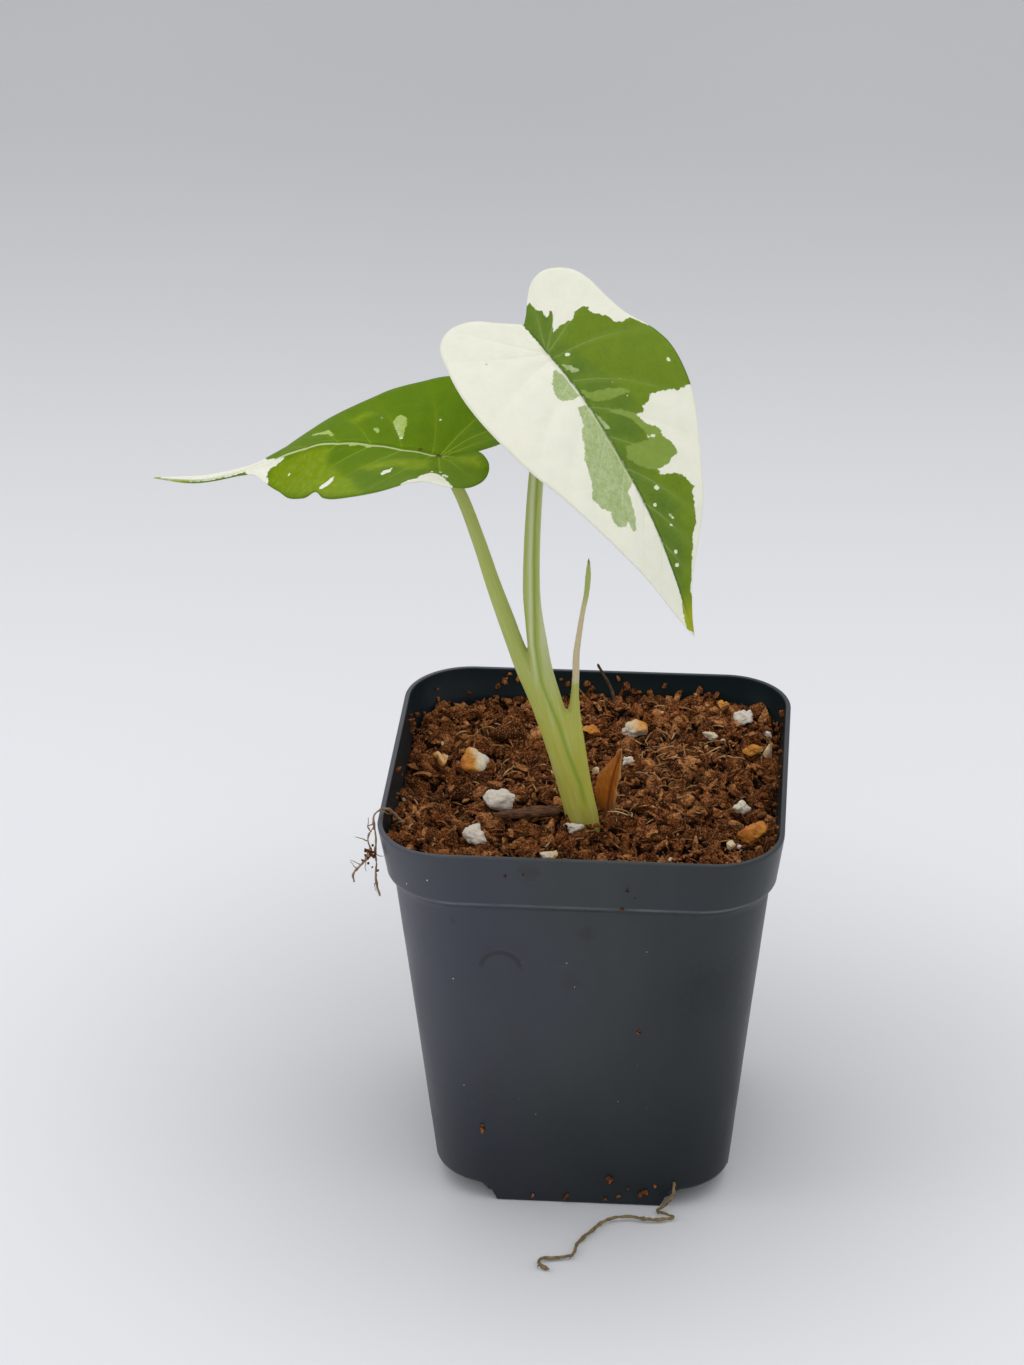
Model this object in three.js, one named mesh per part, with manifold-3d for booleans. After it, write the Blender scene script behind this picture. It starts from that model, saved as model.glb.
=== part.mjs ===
// A young variegated alocasia with two leaves, growing in a small square nursery pot.
// Millimetres, +Z up, -Y to the front. The origin is on the surface that the pot stands on,
// under the middle of its foot. The two leaf stalks lean to the left, -X.
import * as THREE from 'three';
import Module from 'manifold-3d';

const wasm = await Module();
wasm.setup();

// Driving dimensions

const GAP = 0.3;

// The pot is 75 mm across its rim, which sets the scale of everything else.
const POT = {
  height: 81.5,
  rimHalf: 37.5,
  rimCorner: 13,
  bandHeight: 10.9,
  bandTaper: 1.3,
  bandCornerFoot: 14.4,
  shoulderStep: 0.9,
  shoulderRun: 2.8,
  bodyHalfTop: 34.9,
  bodyCornerTop: 14.7,
  bodyHalfBottom: 27.9,
  bodyCornerBottom: 11.6,
  wall: 1,
  floor: 1.2,
};

// Between the four raised corners the walls and the floor go down to the surface.
const FOOT = {
  cornerRise: 4.4,
  halfLength: 16.1,
  endSlope: 2.4,
  drainRadius: 2.6,
  drainPlace: 21.8,
};

const SOIL = {
  level: 75.1,
  backRise: 2.2,
  cornerHeap: 3.4,
  gridStep: 1.9,
  crumbCount: 400,
  crumbSmall: 1.2,
  crumbLarge: 3.2,
  bottomMargin: 8,
};

// Stalk centre lines from the blade down to the foot of the stem: x, y, z and radius.
const LEFT_STALK = [
  [-26.8, -10.2, 148.6, 1.1],
  [-24.7, -10.2, 145.2, 1.1],
  [-22.5, -10.2, 140.6, 1.15],
  [-19.3, -10.2, 131.1, 1.25],
  [-17.2, -10.2, 124, 1.38],
  [-14.8, -10.2, 116.6, 1.55],
  [-13.2, -10.2, 111.7, 1.6],
  [-11.3, -10.2, 106.4, 1.8],
  [-8.5, -10.2, 99.8, 2.1],
  [-5.5, -10.2, 91.5, 2.4],
  [-2.4, -10.2, 83.1, 2.7],
  [-0.6, -10.2, 76.3, 2.95],
  [-0.2, -10.2, 70, 3.1],
];
const RIGHT_STALK = [
  [-6.9, -11, 169.6, 1.15],
  [-7.2, -10.5, 166.4, 1.2],
  [-8, -10.2, 158, 1.3],
  [-8.8, -10.3, 149, 1.38],
  [-9.4, -10.5, 141.2, 1.42],
  [-9.9, -10.5, 131.6, 1.5],
  [-10, -10.5, 121.8, 1.6],
  [-9.6, -10.5, 116.9, 1.66],
  [-9, -10.5, 111.9, 1.85],
  [-8.3, -10.5, 106.7, 2.05],
  [-6.9, -10.5, 100, 2.5],
  [-4.9, -10.5, 91.7, 2.85],
  [-2.5, -10.5, 83.3, 3.05],
  [-0.9, -10.5, 76.5, 3.15],
  [0, -10.3, 70, 3.3],
];
// The thin sheath point on the right grows out of the stem's side.
const SHEATH_POINT = [
  [0.4, -10.2, 129.6, 0.12],
  [0.4, -10.2, 128.2, 0.35],
  [0.3, -10.2, 125.5, 0.55],
  [0, -10.2, 122, 0.52],
  [-0.6, -10.2, 118.7, 0.5],
  [-1.2, -10.2, 114.6, 0.55],
  [-1.8, -10.2, 109.6, 0.65],
  [-1.9, -10.2, 105.1, 0.8],
  [-2.1, -10.2, 100.1, 1.05],
  [-2.2, -10.2, 95.7, 1.5],
  [-2.1, -10.3, 91.6, 1.95],
  [-1.4, -10.3, 83.3, 2.4],
  [-0.3, -10.3, 76.5, 2.5],
  [0.2, -10.3, 70, 2.6],
];
// The corm is the swollen foot of the stem, hidden in the soil.
const CORM = [
  [0, -10.3, 73, 3.1],
  [0, -10.3, 69, 3.5],
  [0, -10.3, 64, 5.2],
  [0, -10.3, 59, 5.4],
  [0, -10.3, 54.5, 3.6],
  [0, -10.3, 53, 1.5],
];

// A blade is drawn flat and then laid along its midrib. In the flat drawing x runs from the
// stalk towards the tip and y out from the midrib, above zero on the left hand of someone who
// looks along the blade to its tip. Each hand's outline starts at the notch between the lobes
// and ends at the tip. Turns hold the distance along the midrib, the roll of the blade about it
// and the rise of the left-hand and the right-hand half from it, in degrees.
const BLADE_THICKNESS = 0.7;
const RIGHT_LEAF = {
  midrib: [
    [-6.9, -11, 169.5], [-1.4, -16.6, 165.2], [3.5, -21.7, 160.1], [13.3, -31.1, 146.1],
    [20.8, -37.8, 128.1],
  ],
  turns: [[0, 24, 15, 15], [60, 24, 15, 15]],
  sinusRise: 0,
  cup: 0.004,
  notch: -7.5,
  stalkShare: 0.3,
  rightHand: [
    [-10, 4], [-12.5, 8], [-13, 12.5], [-10.8, 16.2], [-5, 18.1], [1, 19], [7, 19], [12.5, 18.2],
    [19.5, 16.4], [25, 14], [31.5, 11.4], [38.5, 8.5], [46, 5], [53, 2.2],
  ],
  leftHand: [
    [-8.8, 1.4], [-10.9, 3.2], [-13.3, 5.9], [-13.7, 9], [-11, 12.8], [-7.5, 14.3], [-3, 14.8],
    [3, 15.8], [8, 17.9], [11.5, 18.6], [18.3, 17.7], [24.5, 15.4], [31.5, 12.1], [36, 10],
    [42, 6.3], [48, 3], [54, 0.9],
  ],
};
const LEFT_LEAF = {
  midrib: [
    [-26.8, -10.2, 148.6], [-33.5, -8.5, 148.9], [-41.7, -6.3, 148.8], [-49.1, -4.4, 147.5],
    [-57.4, -2.4, 143.5], [-63.6, -0.8, 140.3], [-72.1, 1.3, 137.2], [-81.3, 3.6, 136.3],
  ],
  turns: [[0, -9, 17, 17], [32, -15, -19, -10], [40, -15, 0, 0]],
  sinusRise: 24,
  cup: 0,
  notch: -7.5,
  stalkShare: 0.3,
  leftHand: [
    [-9.6, 2.4], [-11.3, 4.7], [-11.9, 7.1], [-11.5, 10.5], [-10, 13.9], [-7.2, 15],
    [-2.8, 14.5], [0.2, 17], [3.8, 18.7], [8.1, 18.6], [13.4, 17.5], [16.8, 15.7], [19.9, 12.9],
    [22.2, 13.4], [25.6, 12.2], [28.9, 10.3], [31.6, 7.4], [34.3, 4.9], [37.2, 2], [40.5, 1.1],
    [46, 0.8], [52, 0.7],
  ],
  rightHand: [
    [-11.9, 1.2], [-14, 5], [-14.6, 9.5], [-12.4, 14], [-7.5, 17.3], [-1.5, 19.2], [4.5, 19.4],
    [9.7, 17.9], [14, 16.1], [17.2, 13.9], [21.4, 11], [26.7, 7.8], [30.5, 5.8], [33.7, 3.3],
    [37, 1.6], [40, 1.3], [46, 1.4], [52, 1.1],
  ],
};

// Mineral grains in the top of the soil: name, x, y, length, width, height, turn in degrees.
const STONES = [
  ['stone_white_large', -16.4, -7.2, 6, 5, 3.8, 20, 'white'],
  ['stone_white_front', -20.1, -21.8, 5.4, 5, 3.6, 70, 'white'],
  ['stone_cream_slanted', -22.3, 6.8, 6.4, 4, 3.6, -48, 'cream'],
  ['stone_yellow_left', -29.1, 9.5, 4, 3.2, 2.8, 80, 'amber'],
  ['stone_cream_back', 7.6, 23.1, 5.6, 4.2, 3.2, 5, 'cream'],
  ['stone_amber_back', -1, 21.5, 3.8, 3, 2.4, 30, 'amber'],
  ['stone_white_back', 28.2, 27.1, 4.2, 3.6, 2.8, 0, 'white'],
  ['stone_cream_low', 22.1, 20.7, 3.6, 3, 2.2, 50, 'cream'],
  ['stone_amber_right', 30.6, 16.7, 4.2, 3.4, 2.6, 15, 'amber'],
  ['stone_white_right', 29.1, -4.4, 4, 3, 2.4, -20, 'white'],
  ['stone_orange_lump', 31.2, -14.9, 5.6, 5, 3.8, 10, 'amber'],
  ['stone_cream_rim', -5.6, -25.3, 3.6, 2.6, 2.2, 0, 'cream'],
  ['stone_white_foot', -1.7, -15.4, 3.8, 2.6, 2.4, -20, 'white'],
  ['stone_white_middle', 6.7, 10.9, 2.4, 1.8, 1.8, 0, 'white'],
  ['stone_amber_far', 24.3, 32, 3, 2.4, 2, 20, 'amber'],
];

// The bark chip lies level on the soil left of the stem.
const BARK_CHIP = { from: [-17.2, -12.4, 76.4], to: [-4.9, -10.6, 76.7], width: 2.5, thickness: 1.4 };

// The dry sheath stands at the foot of the stem: height, left edge, fold and right edge, x and y.
const DRY_SHEATH = {
  thickness: 0.6,
  rows: [
    [73.4, 2.6, -6.3, 3.7, -7.4, 4.9, -6.9],
    [76.5, 2.2, -5.9, 3.9, -7.3, 5.3, -6.6],
    [79.6, 1.6, -5.4, 4.4, -7, 5.8, -6.1],
    [82.5, 2.8, -5.2, 4.9, -6.6, 6.2, -5.7],
    [85, 4.6, -5.3, 5.5, -6.1, 6.4, -5.5],
    [87.4, 5.8, -5.6, 6.1, -5.8, 6.4, -5.6],
  ],
};

// Dry roots: centre lines with x, y, z and radius.
const FLOOR_ROOT = [
  [21.9, -21.9, 6.6, 0.5],
  [21.8, -22.6, 3.6, 0.5],
  [19.9, -24.6, 1.3, 0.55],
  [18.6, -26, 0.75, 0.6],
  [20.1, -28, 0.7, 0.5],
  [18.9, -31.3, 0.7, 0.5],
  [15.9, -33.3, 0.8, 0.5],
  [12.1, -33.5, 1, 0.5],
  [9.8, -33.1, 1.1, 0.5],
  [5.5, -34.6, 0.9, 0.5],
  [2.9, -38.4, 0.75, 0.55],
  [0.7, -42.1, 0.7, 0.5],
  [0.1, -46, 0.75, 0.6],
  [-2.2, -46.8, 0.7, 0.5],
  [-6.2, -47.8, 0.75, 0.55],
  [-5.8, -49.6, 0.75, 0.6],
  [-4.2, -50.5, 0.6, 0.5],
];
const RIM_ROOT_STRAND = [
  [-32.2, -17.6, 74.6, 0.5],
  [-33.1, -18.5, 76.4, 0.5],
  [-34, -19.5, 78.5, 0.45],
  [-35.2, -20.8, 80.9, 0.38],
  [-36.1, -21.7, 82.1, 0.34],
  [-37.3, -22.9, 82.5, 0.32],
  [-38.2, -24, 82.1, 0.32],
  [-38.4, -24.6, 81.4, 0.32],
  [-38.1, -25.2, 80.4, 0.36],
  [-37.9, -25.5, 79, 0.3],
  [-37.8, -25.6, 77, 0.3],
  [-38, -25.6, 74.6, 0.28],
  [-37.8, -25.6, 72.7, 0.25],
  [-38, -25.6, 70.6, 0.25],
  [-37.9, -25.6, 68.6, 0.25],
  [-37.3, -25.6, 65.6, 0.22],
];
const RIM_ROOT_BRANCH = [
  [-38, -25.4, 80.3, 0.3],
  [-38.6, -25.4, 79.6, 0.28],
  [-39.2, -25.4, 78.4, 0.28],
  [-39.3, -25.4, 76.9, 0.28],
  [-38.8, -25.5, 75.6, 0.35],
  [-38.9, -25.5, 74.7, 0.6],
  [-40.6, -25.5, 72.2, 0.34],
  [-42.2, -25.5, 70.2, 0.3],
  [-42.1, -25.5, 68.3, 0.3],
];
const BACK_TWIG = [
  [3.6, 30.8, 73.8, 0.45],
  [2.4, 33, 79.3, 0.4],
  [0.8, 33.3, 82.4, 0.4],
  [-0.6, 33.4, 85.1, 0.35],
];

const COLOURS = {
  pot: { color: 0x34393e, roughness: 0.45, metalness: 0 },
  soil: { color: 0x6b3d22, roughness: 0.95, metalness: 0 },
  stem: { color: 0x93a050, roughness: 0.5, metalness: 0 },
  rightLeaf: { color: 0xe9eadc, roughness: 0.45, metalness: 0 },
  leftLeaf: { color: 0x63861c, roughness: 0.4, metalness: 0 },
  drySheath: { color: 0xa0641c, roughness: 0.6, metalness: 0 },
  bark: { color: 0x2e211b, roughness: 0.8, metalness: 0 },
  root: { color: 0x5d4632, roughness: 0.85, metalness: 0 },
  white: { color: 0xdcdad2, roughness: 0.9, metalness: 0 },
  cream: { color: 0xd8c79a, roughness: 0.9, metalness: 0 },
  amber: { color: 0xc98a2c, roughness: 0.85, metalness: 0 },
};

// General helpers

/** A repeatable random source, so that every build gives the same soil and stones. */
function randomSource(seed) {
  let state = seed;
  return () => {
    state = (state * 16807) % 2147483647;
    return state / 2147483647;
  };
}

function vector([x, y, z = 0]) {
  return new THREE.Vector3(x, y, z);
}

function indexedGeometry(points, index) {
  const geometry = new THREE.BufferGeometry();
  geometry.setAttribute('position', new THREE.Float32BufferAttribute(points.flatMap((p) => [p.x, p.y, p.z]), 3));
  geometry.setIndex(index);
  return geometry;
}

function toSolid(geometry) {
  const vertProperties = new Float32Array(geometry.getAttribute('position').array);
  const triVerts = new Uint32Array(geometry.getIndex().array);
  return new wasm.Manifold(new wasm.Mesh({ numProp: 3, vertProperties, triVerts }));
}

/** Turns a joined or cut solid back into a mesh, leaving out scraps next to its largest piece. */
function toGeometry(solid) {
  const pieces = solid.decompose().sort((a, b) => b.volume() - a.volume());
  const { vertProperties, triVerts } = pieces[0].getMesh();
  const geometry = new THREE.BufferGeometry();
  geometry.setAttribute('position', new THREE.BufferAttribute(new Float32Array(vertProperties), 3));
  geometry.setIndex(Array.from(triVerts));
  return geometry;
}

/** A closed solid through rings of equally many points, which run anticlockwise seen from its end. */
function loft(rings) {
  const count = rings[0].length;
  const index = [];
  for (let ring = 0; ring + 1 < rings.length; ring += 1) {
    for (let i = 0; i < count; i += 1) {
      const here = ring * count + i;
      const beside = ring * count + ((i + 1) % count);
      index.push(here, beside, beside + count, here, beside + count, here + count);
    }
  }
  const last = (rings.length - 1) * count;
  for (let i = 1; i + 1 < count; i += 1) {
    index.push(0, i + 1, i, last, last + i, last + i + 1);
  }
  return indexedGeometry(rings.flat(), index);
}

/** A tapered tube through [x, y, z, radius] points, made thicker all round by grow. */
function taperedTube(stops, steps, sides, grow = 0) {
  const curve = new THREE.CatmullRomCurve3(stops.map(vector));
  const radii = new THREE.CatmullRomCurve3(stops.map((stop) => new THREE.Vector3(stop[3], 0, 0)));
  const turns = curve.computeFrenetFrames(steps);
  const rings = [];
  for (let step = 0; step <= steps; step += 1) {
    const centre = curve.getPointAt(step / steps);
    const radius = radii.getPoint(curve.getUtoTmapping(step / steps)).x + grow;
    rings.push(Array.from({ length: sides }, (_, side) => {
      const angle = (side / sides) * 2 * Math.PI;
      return centre.clone()
        .addScaledVector(turns.normals[step], radius * Math.cos(angle))
        .addScaledVector(turns.binormals[step], radius * Math.sin(angle));
    }));
  }
  return loft(rings);
}

// Pot

function roundedSquare(half, corner, z) {
  const arcSteps = 6;
  const points = [];
  for (let quarter = 0; quarter < 4; quarter += 1) {
    const diagonal = (quarter + 0.5) * (Math.PI / 2);
    const centreX = Math.sign(Math.cos(diagonal)) * (half - corner);
    const centreY = Math.sign(Math.sin(diagonal)) * (half - corner);
    for (let step = 0; step <= arcSteps; step += 1) {
      const angle = (quarter + step / arcSteps) * (Math.PI / 2);
      points.push(new THREE.Vector3(centreX + corner * Math.cos(angle), centreY + corner * Math.sin(angle), z));
    }
  }
  return points;
}

/** The pot's outside profile, bottom to top: height, half width and corner radius. */
function potProfile() {
  const bandFoot = POT.height - POT.bandHeight;
  const bandHalf = POT.rimHalf - POT.bandTaper;
  const bodyTop = bandFoot - POT.shoulderRun;
  return [
    [0, POT.bodyHalfBottom, POT.bodyCornerBottom],
    [bodyTop, POT.bodyHalfTop, POT.bodyCornerTop],
    [bodyTop + 0.5 * POT.shoulderRun, POT.bodyHalfTop + 0.3 * POT.shoulderStep, POT.bodyCornerTop],
    [bandFoot - 0.1 * POT.shoulderRun, bandHalf - 0.15, POT.bandCornerFoot],
    [bandFoot + 0.5, bandHalf, POT.bandCornerFoot],
    [POT.height - 0.4, POT.rimHalf, POT.rimCorner],
    [POT.height, POT.rimHalf - 0.25, POT.rimCorner - 0.2],
  ];
}

/** The space inside the pot, with its walls moved in by inset; it runs out over the rim. */
function cavity(inset) {
  const offset = POT.wall + inset;
  const rings = potProfile().slice(1, -1).map(([z, half, corner]) => roundedSquare(half - offset, corner - offset, z));
  const bottom = roundedSquare(POT.bodyHalfBottom - offset, POT.bodyCornerBottom - offset, POT.floor + inset);
  const top = roundedSquare(POT.rimHalf - offset + 0.1, POT.rimCorner - offset, POT.height + 2);
  return toSolid(loft([bottom, ...rings, top]));
}

/** The four blocks that the raised corners leave free at the foot, made larger by grow. */
function footCorners(grow) {
  const outer = POT.rimHalf;
  const block = (near, z) => [[near, near], [outer, near], [outer, outer], [near, outer]].map(([x, y]) => vector([x, y, z]));
  const low = FOOT.halfLength - FOOT.endSlope * 0.5 - grow;
  const high = FOOT.halfLength + FOOT.endSlope - grow;
  const corner = toSolid(loft([block(low, -FOOT.cornerRise * 0.5), block(high, FOOT.cornerRise + grow)]));
  return [0, 90, 180, 270].map((turn) => corner.rotate([0, 0, turn])).reduce((sum, one) => sum.add(one));
}

function drainHoles() {
  const places = [[1, 1], [1, -1], [-1, 1], [-1, -1]];
  return places.map(([sideX, sideY]) => {
    const ring = (z) => Array.from({ length: 12 }, (_, i) => vector([
      sideX * FOOT.drainPlace + FOOT.drainRadius * Math.cos((i / 6) * Math.PI),
      sideY * FOOT.drainPlace + FOOT.drainRadius * Math.sin((i / 6) * Math.PI),
      z,
    ]));
    return toSolid(loft([ring(0), ring(FOOT.cornerRise + 2 * POT.wall)]));
  }).reduce((sum, one) => sum.add(one));
}

function potGeometry() {
  const outside = toSolid(loft(potProfile().map(([z, half, corner]) => roundedSquare(half, corner, z))));
  const inside = cavity(0).subtract(footCorners(POT.wall));
  return toGeometry(outside.subtract(footCorners(0)).subtract(inside).subtract(drainHoles()));
}

// Stones, bark chip and dry sheath

function stoneGeometry([, x, y, length, width, height, turn], seed, grow = 0) {
  const random = randomSource(seed);
  const wobble = Array.from({ length: 6 }, () => random() * 2 * Math.PI);
  const shape = new THREE.IcosahedronGeometry(1, length > 5.9 ? 2 : 1);
  const points = [];
  const index = [];
  const known = new Map();
  const corners = shape.getAttribute('position');
  for (let i = 0; i < corners.count; i += 1) {
    const direction = new THREE.Vector3().fromBufferAttribute(corners, i);
    const key = direction.toArray().map((value) => value.toFixed(4)).join();
    if (!known.has(key)) {
      const lump = 1 + 0.1 * Math.sin(3.1 * direction.x + wobble[0]) * Math.cos(2.7 * direction.y + wobble[1])
        + 0.08 * Math.sin(4.3 * direction.z + 2.2 * direction.x + wobble[2]);
      known.set(key, points.length);
      points.push(new THREE.Vector3(
        direction.x * (length / 2 * lump + grow),
        direction.y * (width / 2 * lump + grow),
        direction.z * (height / 2 * lump + grow),
      ));
    }
    index.push(known.get(key));
  }
  const geometry = indexedGeometry(points, index);
  geometry.rotateX(0.3 * Math.sin(wobble[4]));
  geometry.rotateZ(THREE.MathUtils.degToRad(turn));
  geometry.translate(x, y, soilBase(x, y) + 0.2 * height);
  return geometry;
}

function barkChipGeometry(grow = 0) {
  const from = vector(BARK_CHIP.from);
  const to = vector(BARK_CHIP.to);
  const along = to.clone().sub(from).normalize();
  const across = new THREE.Vector3(0, 0, 1).cross(along).normalize();
  const up = along.clone().cross(across);
  // share of the length, of the width and of the thickness
  const sections = [[0, 0.3, 0.4], [0.12, 0.75, 0.8], [0.35, 1, 1], [0.6, 0.8, 1.05], [0.85, 0.9, 0.8], [1, 0.45, 0.45]];
  const outline = [[-1, -0.5], [0.2, -1], [1, -0.3], [0.8, 0.7], [-0.3, 1], [-0.9, 0.5]];
  return loft(sections.map(([share, wide, thick]) => outline.map(([a, b]) => {
    const reach = share === 0 ? -grow : share === 1 ? grow : 0;
    return from.clone().lerp(to, share).addScaledVector(along, reach)
      .addScaledVector(across, a * (wide * BARK_CHIP.width / 2 + grow))
      .addScaledVector(up, b * (thick * BARK_CHIP.thickness / 2 + grow));
  })));
}

function drySheathGeometry(grow = 0) {
  const thick = DRY_SHEATH.thickness / 2 + grow;
  return loft(DRY_SHEATH.rows.map(([z, leftX, leftY, foldX, foldY, rightX, rightY]) => {
    const left = new THREE.Vector2(leftX - grow, leftY);
    const fold = new THREE.Vector2(foldX, foldY);
    const right = new THREE.Vector2(rightX + grow, rightY);
    const front = [left, fold, right].map((p) => vector([p.x, p.y - thick, z]));
    const back = [right, fold, left].map((p) => vector([p.x, p.y + thick, z]));
    return [...front, ...back];
  }));
}

// Soil

/** The soil's level without its crumbs: it swells, rises to the back and is heaped in one corner. */
function soilBase(x, y) {
  const swell = 0.4 * Math.sin(0.11 * x + 0.6) * Math.cos(0.13 * y - 0.4) + 0.3 * Math.sin(0.23 * x + 0.19 * y - 1.1);
  const backRise = SOIL.backRise * THREE.MathUtils.smoothstep(y, 10, 32) * THREE.MathUtils.smoothstep(x, -28, 4);
  const cornerHeap = SOIL.cornerHeap * Math.exp(-((x + 34) ** 2 + (y + 25) ** 2) / 90);
  return SOIL.level + swell + backRise + cornerHeap;
}

function soilCrumbs() {
  const random = randomSource(2024);
  const reach = POT.rimHalf;
  return Array.from({ length: SOIL.crumbCount }, () => ({
    x: (2 * random() - 1) * reach,
    y: (2 * random() - 1) * reach,
    radius: SOIL.crumbSmall + (SOIL.crumbLarge - SOIL.crumbSmall) * random() ** 2.2,
    stretch: 1 + 0.9 * random(),
    turn: Math.PI * random(),
    sink: random(),
  }));
}

function soilHeight(x, y, crumbs) {
  const base = soilBase(x, y);
  let height = base - 0.9;
  for (const crumb of crumbs) {
    const dx = x - crumb.x;
    const dy = y - crumb.y;
    const along = (dx * Math.cos(crumb.turn) + dy * Math.sin(crumb.turn)) / (crumb.radius * crumb.stretch);
    const across = (dy * Math.cos(crumb.turn) - dx * Math.sin(crumb.turn)) / crumb.radius;
    const distance = along * along + across * across;
    if (distance < 1) {
      height = Math.max(height, base - 0.7 * crumb.sink + 0.55 * crumb.radius * Math.sqrt(1 - distance));
    }
  }
  const besideStone = STONES.some(([, stoneX, stoneY, length]) => Math.hypot(x - stoneX, y - stoneY) < 0.55 * length);
  return besideStone ? Math.min(height, base + 0.2) : height;
}

/** A block with the soil's lumpy top, wider than the pot. */
function soilBlock() {
  const crumbs = soilCrumbs();
  const cells = Math.ceil((2 * POT.rimHalf) / SOIL.gridStep);
  const edge = (cells * SOIL.gridStep) / 2;
  const row = cells + 1;
  const top = [];
  const bottom = [];
  const index = [];
  for (let j = 0; j <= cells; j += 1) {
    for (let i = 0; i <= cells; i += 1) {
      const x = i * SOIL.gridStep - edge;
      const y = j * SOIL.gridStep - edge;
      top.push(vector([x, y, soilHeight(x, y, crumbs)]));
      bottom.push(vector([x, y, -SOIL.bottomMargin]));
    }
  }
  for (let j = 0; j < cells; j += 1) {
    for (let i = 0; i < cells; i += 1) {
      const a = j * row + i;
      const below = a + row * row;
      index.push(a, a + 1, a + 1 + row, a, a + 1 + row, a + row);
      index.push(below, below + 1 + row, below + 1, below, below + row, below + 1 + row);
    }
  }
  const wall = (a, b) => index.push(a, a + row * row, b + row * row, a, b + row * row, b);
  for (let i = 0; i < cells; i += 1) {
    wall(i, i + 1);
    wall(cells * row + i + 1, cells * row + i);
    wall((i + 1) * row, i * row);
    wall(i * row + cells, (i + 1) * row + cells);
  }
  return toSolid(indexedGeometry([...top, ...bottom], index));
}

function soilGeometry() {
  let soil = cavity(GAP).subtract(footCorners(POT.wall + GAP)).intersect(soilBlock());
  soil = soil.subtract(stemSolid(GAP));
  STONES.forEach((stone, number) => {
    soil = soil.subtract(toSolid(stoneGeometry(stone, 11 + number, GAP)));
  });
  const seats = [barkChipGeometry(GAP), drySheathGeometry(GAP), taperedTube(BACK_TWIG, 8, 6, GAP),
    taperedTube(RIM_ROOT_STRAND, 30, 6, GAP), taperedTube(FLOOR_ROOT, 40, 6, GAP)];
  seats.forEach((seat) => {
    soil = soil.subtract(toSolid(seat));
  });
  return toGeometry(soil);
}

// Stem

function stemSolid(grow = 0) {
  return [
    taperedTube(LEFT_STALK, 26, 10, grow),
    taperedTube(RIGHT_STALK, 30, 10, grow),
    taperedTube(SHEATH_POINT, 18, 8, grow),
    taperedTube(CORM, 8, 12, grow),
  ].map(toSolid).reduce((sum, one) => sum.add(one));
}

function stemGeometry() {
  const blades = [RIGHT_LEAF, LEFT_LEAF].map((leaf) => toSolid(bladeGeometry(leaf, BLADE_THICKNESS + 2 * GAP)));
  return toGeometry(stemSolid().subtract(blades[0]).subtract(blades[1]));
}

// Leaf blades

/** Roll and rises of a blade at a distance along its midrib, in radians. */
function turnsAt(leaf, x) {
  const stops = leaf.turns;
  const last = stops[stops.length - 1];
  const held = THREE.MathUtils.clamp(x, stops[0][0], last[0]);
  const next = Math.max(1, stops.findIndex((stop) => stop[0] >= held));
  const [from, to] = [stops[next - 1], stops[next]];
  const share = (held - from[0]) / (to[0] - from[0]);
  return [1, 2, 3].map((field) => THREE.MathUtils.degToRad(THREE.MathUtils.lerp(from[field], to[field], share)));
}

/** The place in space of a point x, y of the flat drawing. */
function bladePoint(leaf, curve, x, y) {
  const share = THREE.MathUtils.clamp(x / curve.getLength(), 0, 1);
  const along = curve.getTangentAt(share);
  const level = new THREE.Vector3(0, 0, 1).cross(along).normalize();
  const upright = along.clone().cross(level);
  const [roll, leftRise, rightRise] = turnsAt(leaf, x);
  const side = level.clone().multiplyScalar(Math.cos(roll)).addScaledVector(upright, Math.sin(roll));
  const face = upright.clone().multiplyScalar(Math.cos(roll)).addScaledVector(level, -Math.sin(roll));
  const rise = y > 0 ? leftRise : rightRise;
  const out = Math.abs(y);
  const behind = Math.min(x, 0);
  const sinus = Math.tan(THREE.MathUtils.degToRad(leaf.sinusRise)) * (Math.hypot(behind, 1.5) - 1.5);
  const lift = out * Math.sin(rise) - leaf.cup * out * out + sinus * Math.exp(-((out / 6) ** 2));
  return curve.getPointAt(share)
    .addScaledVector(along, behind)
    .addScaledVector(side, y * Math.cos(rise))
    .addScaledVector(face, lift);
}

function bladeOutline(leaf, hand, tip) {
  const points = [[leaf.notch, 0], ...hand, [tip, 0]].map(vector);
  return new THREE.CatmullRomCurve3(points);
}

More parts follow.
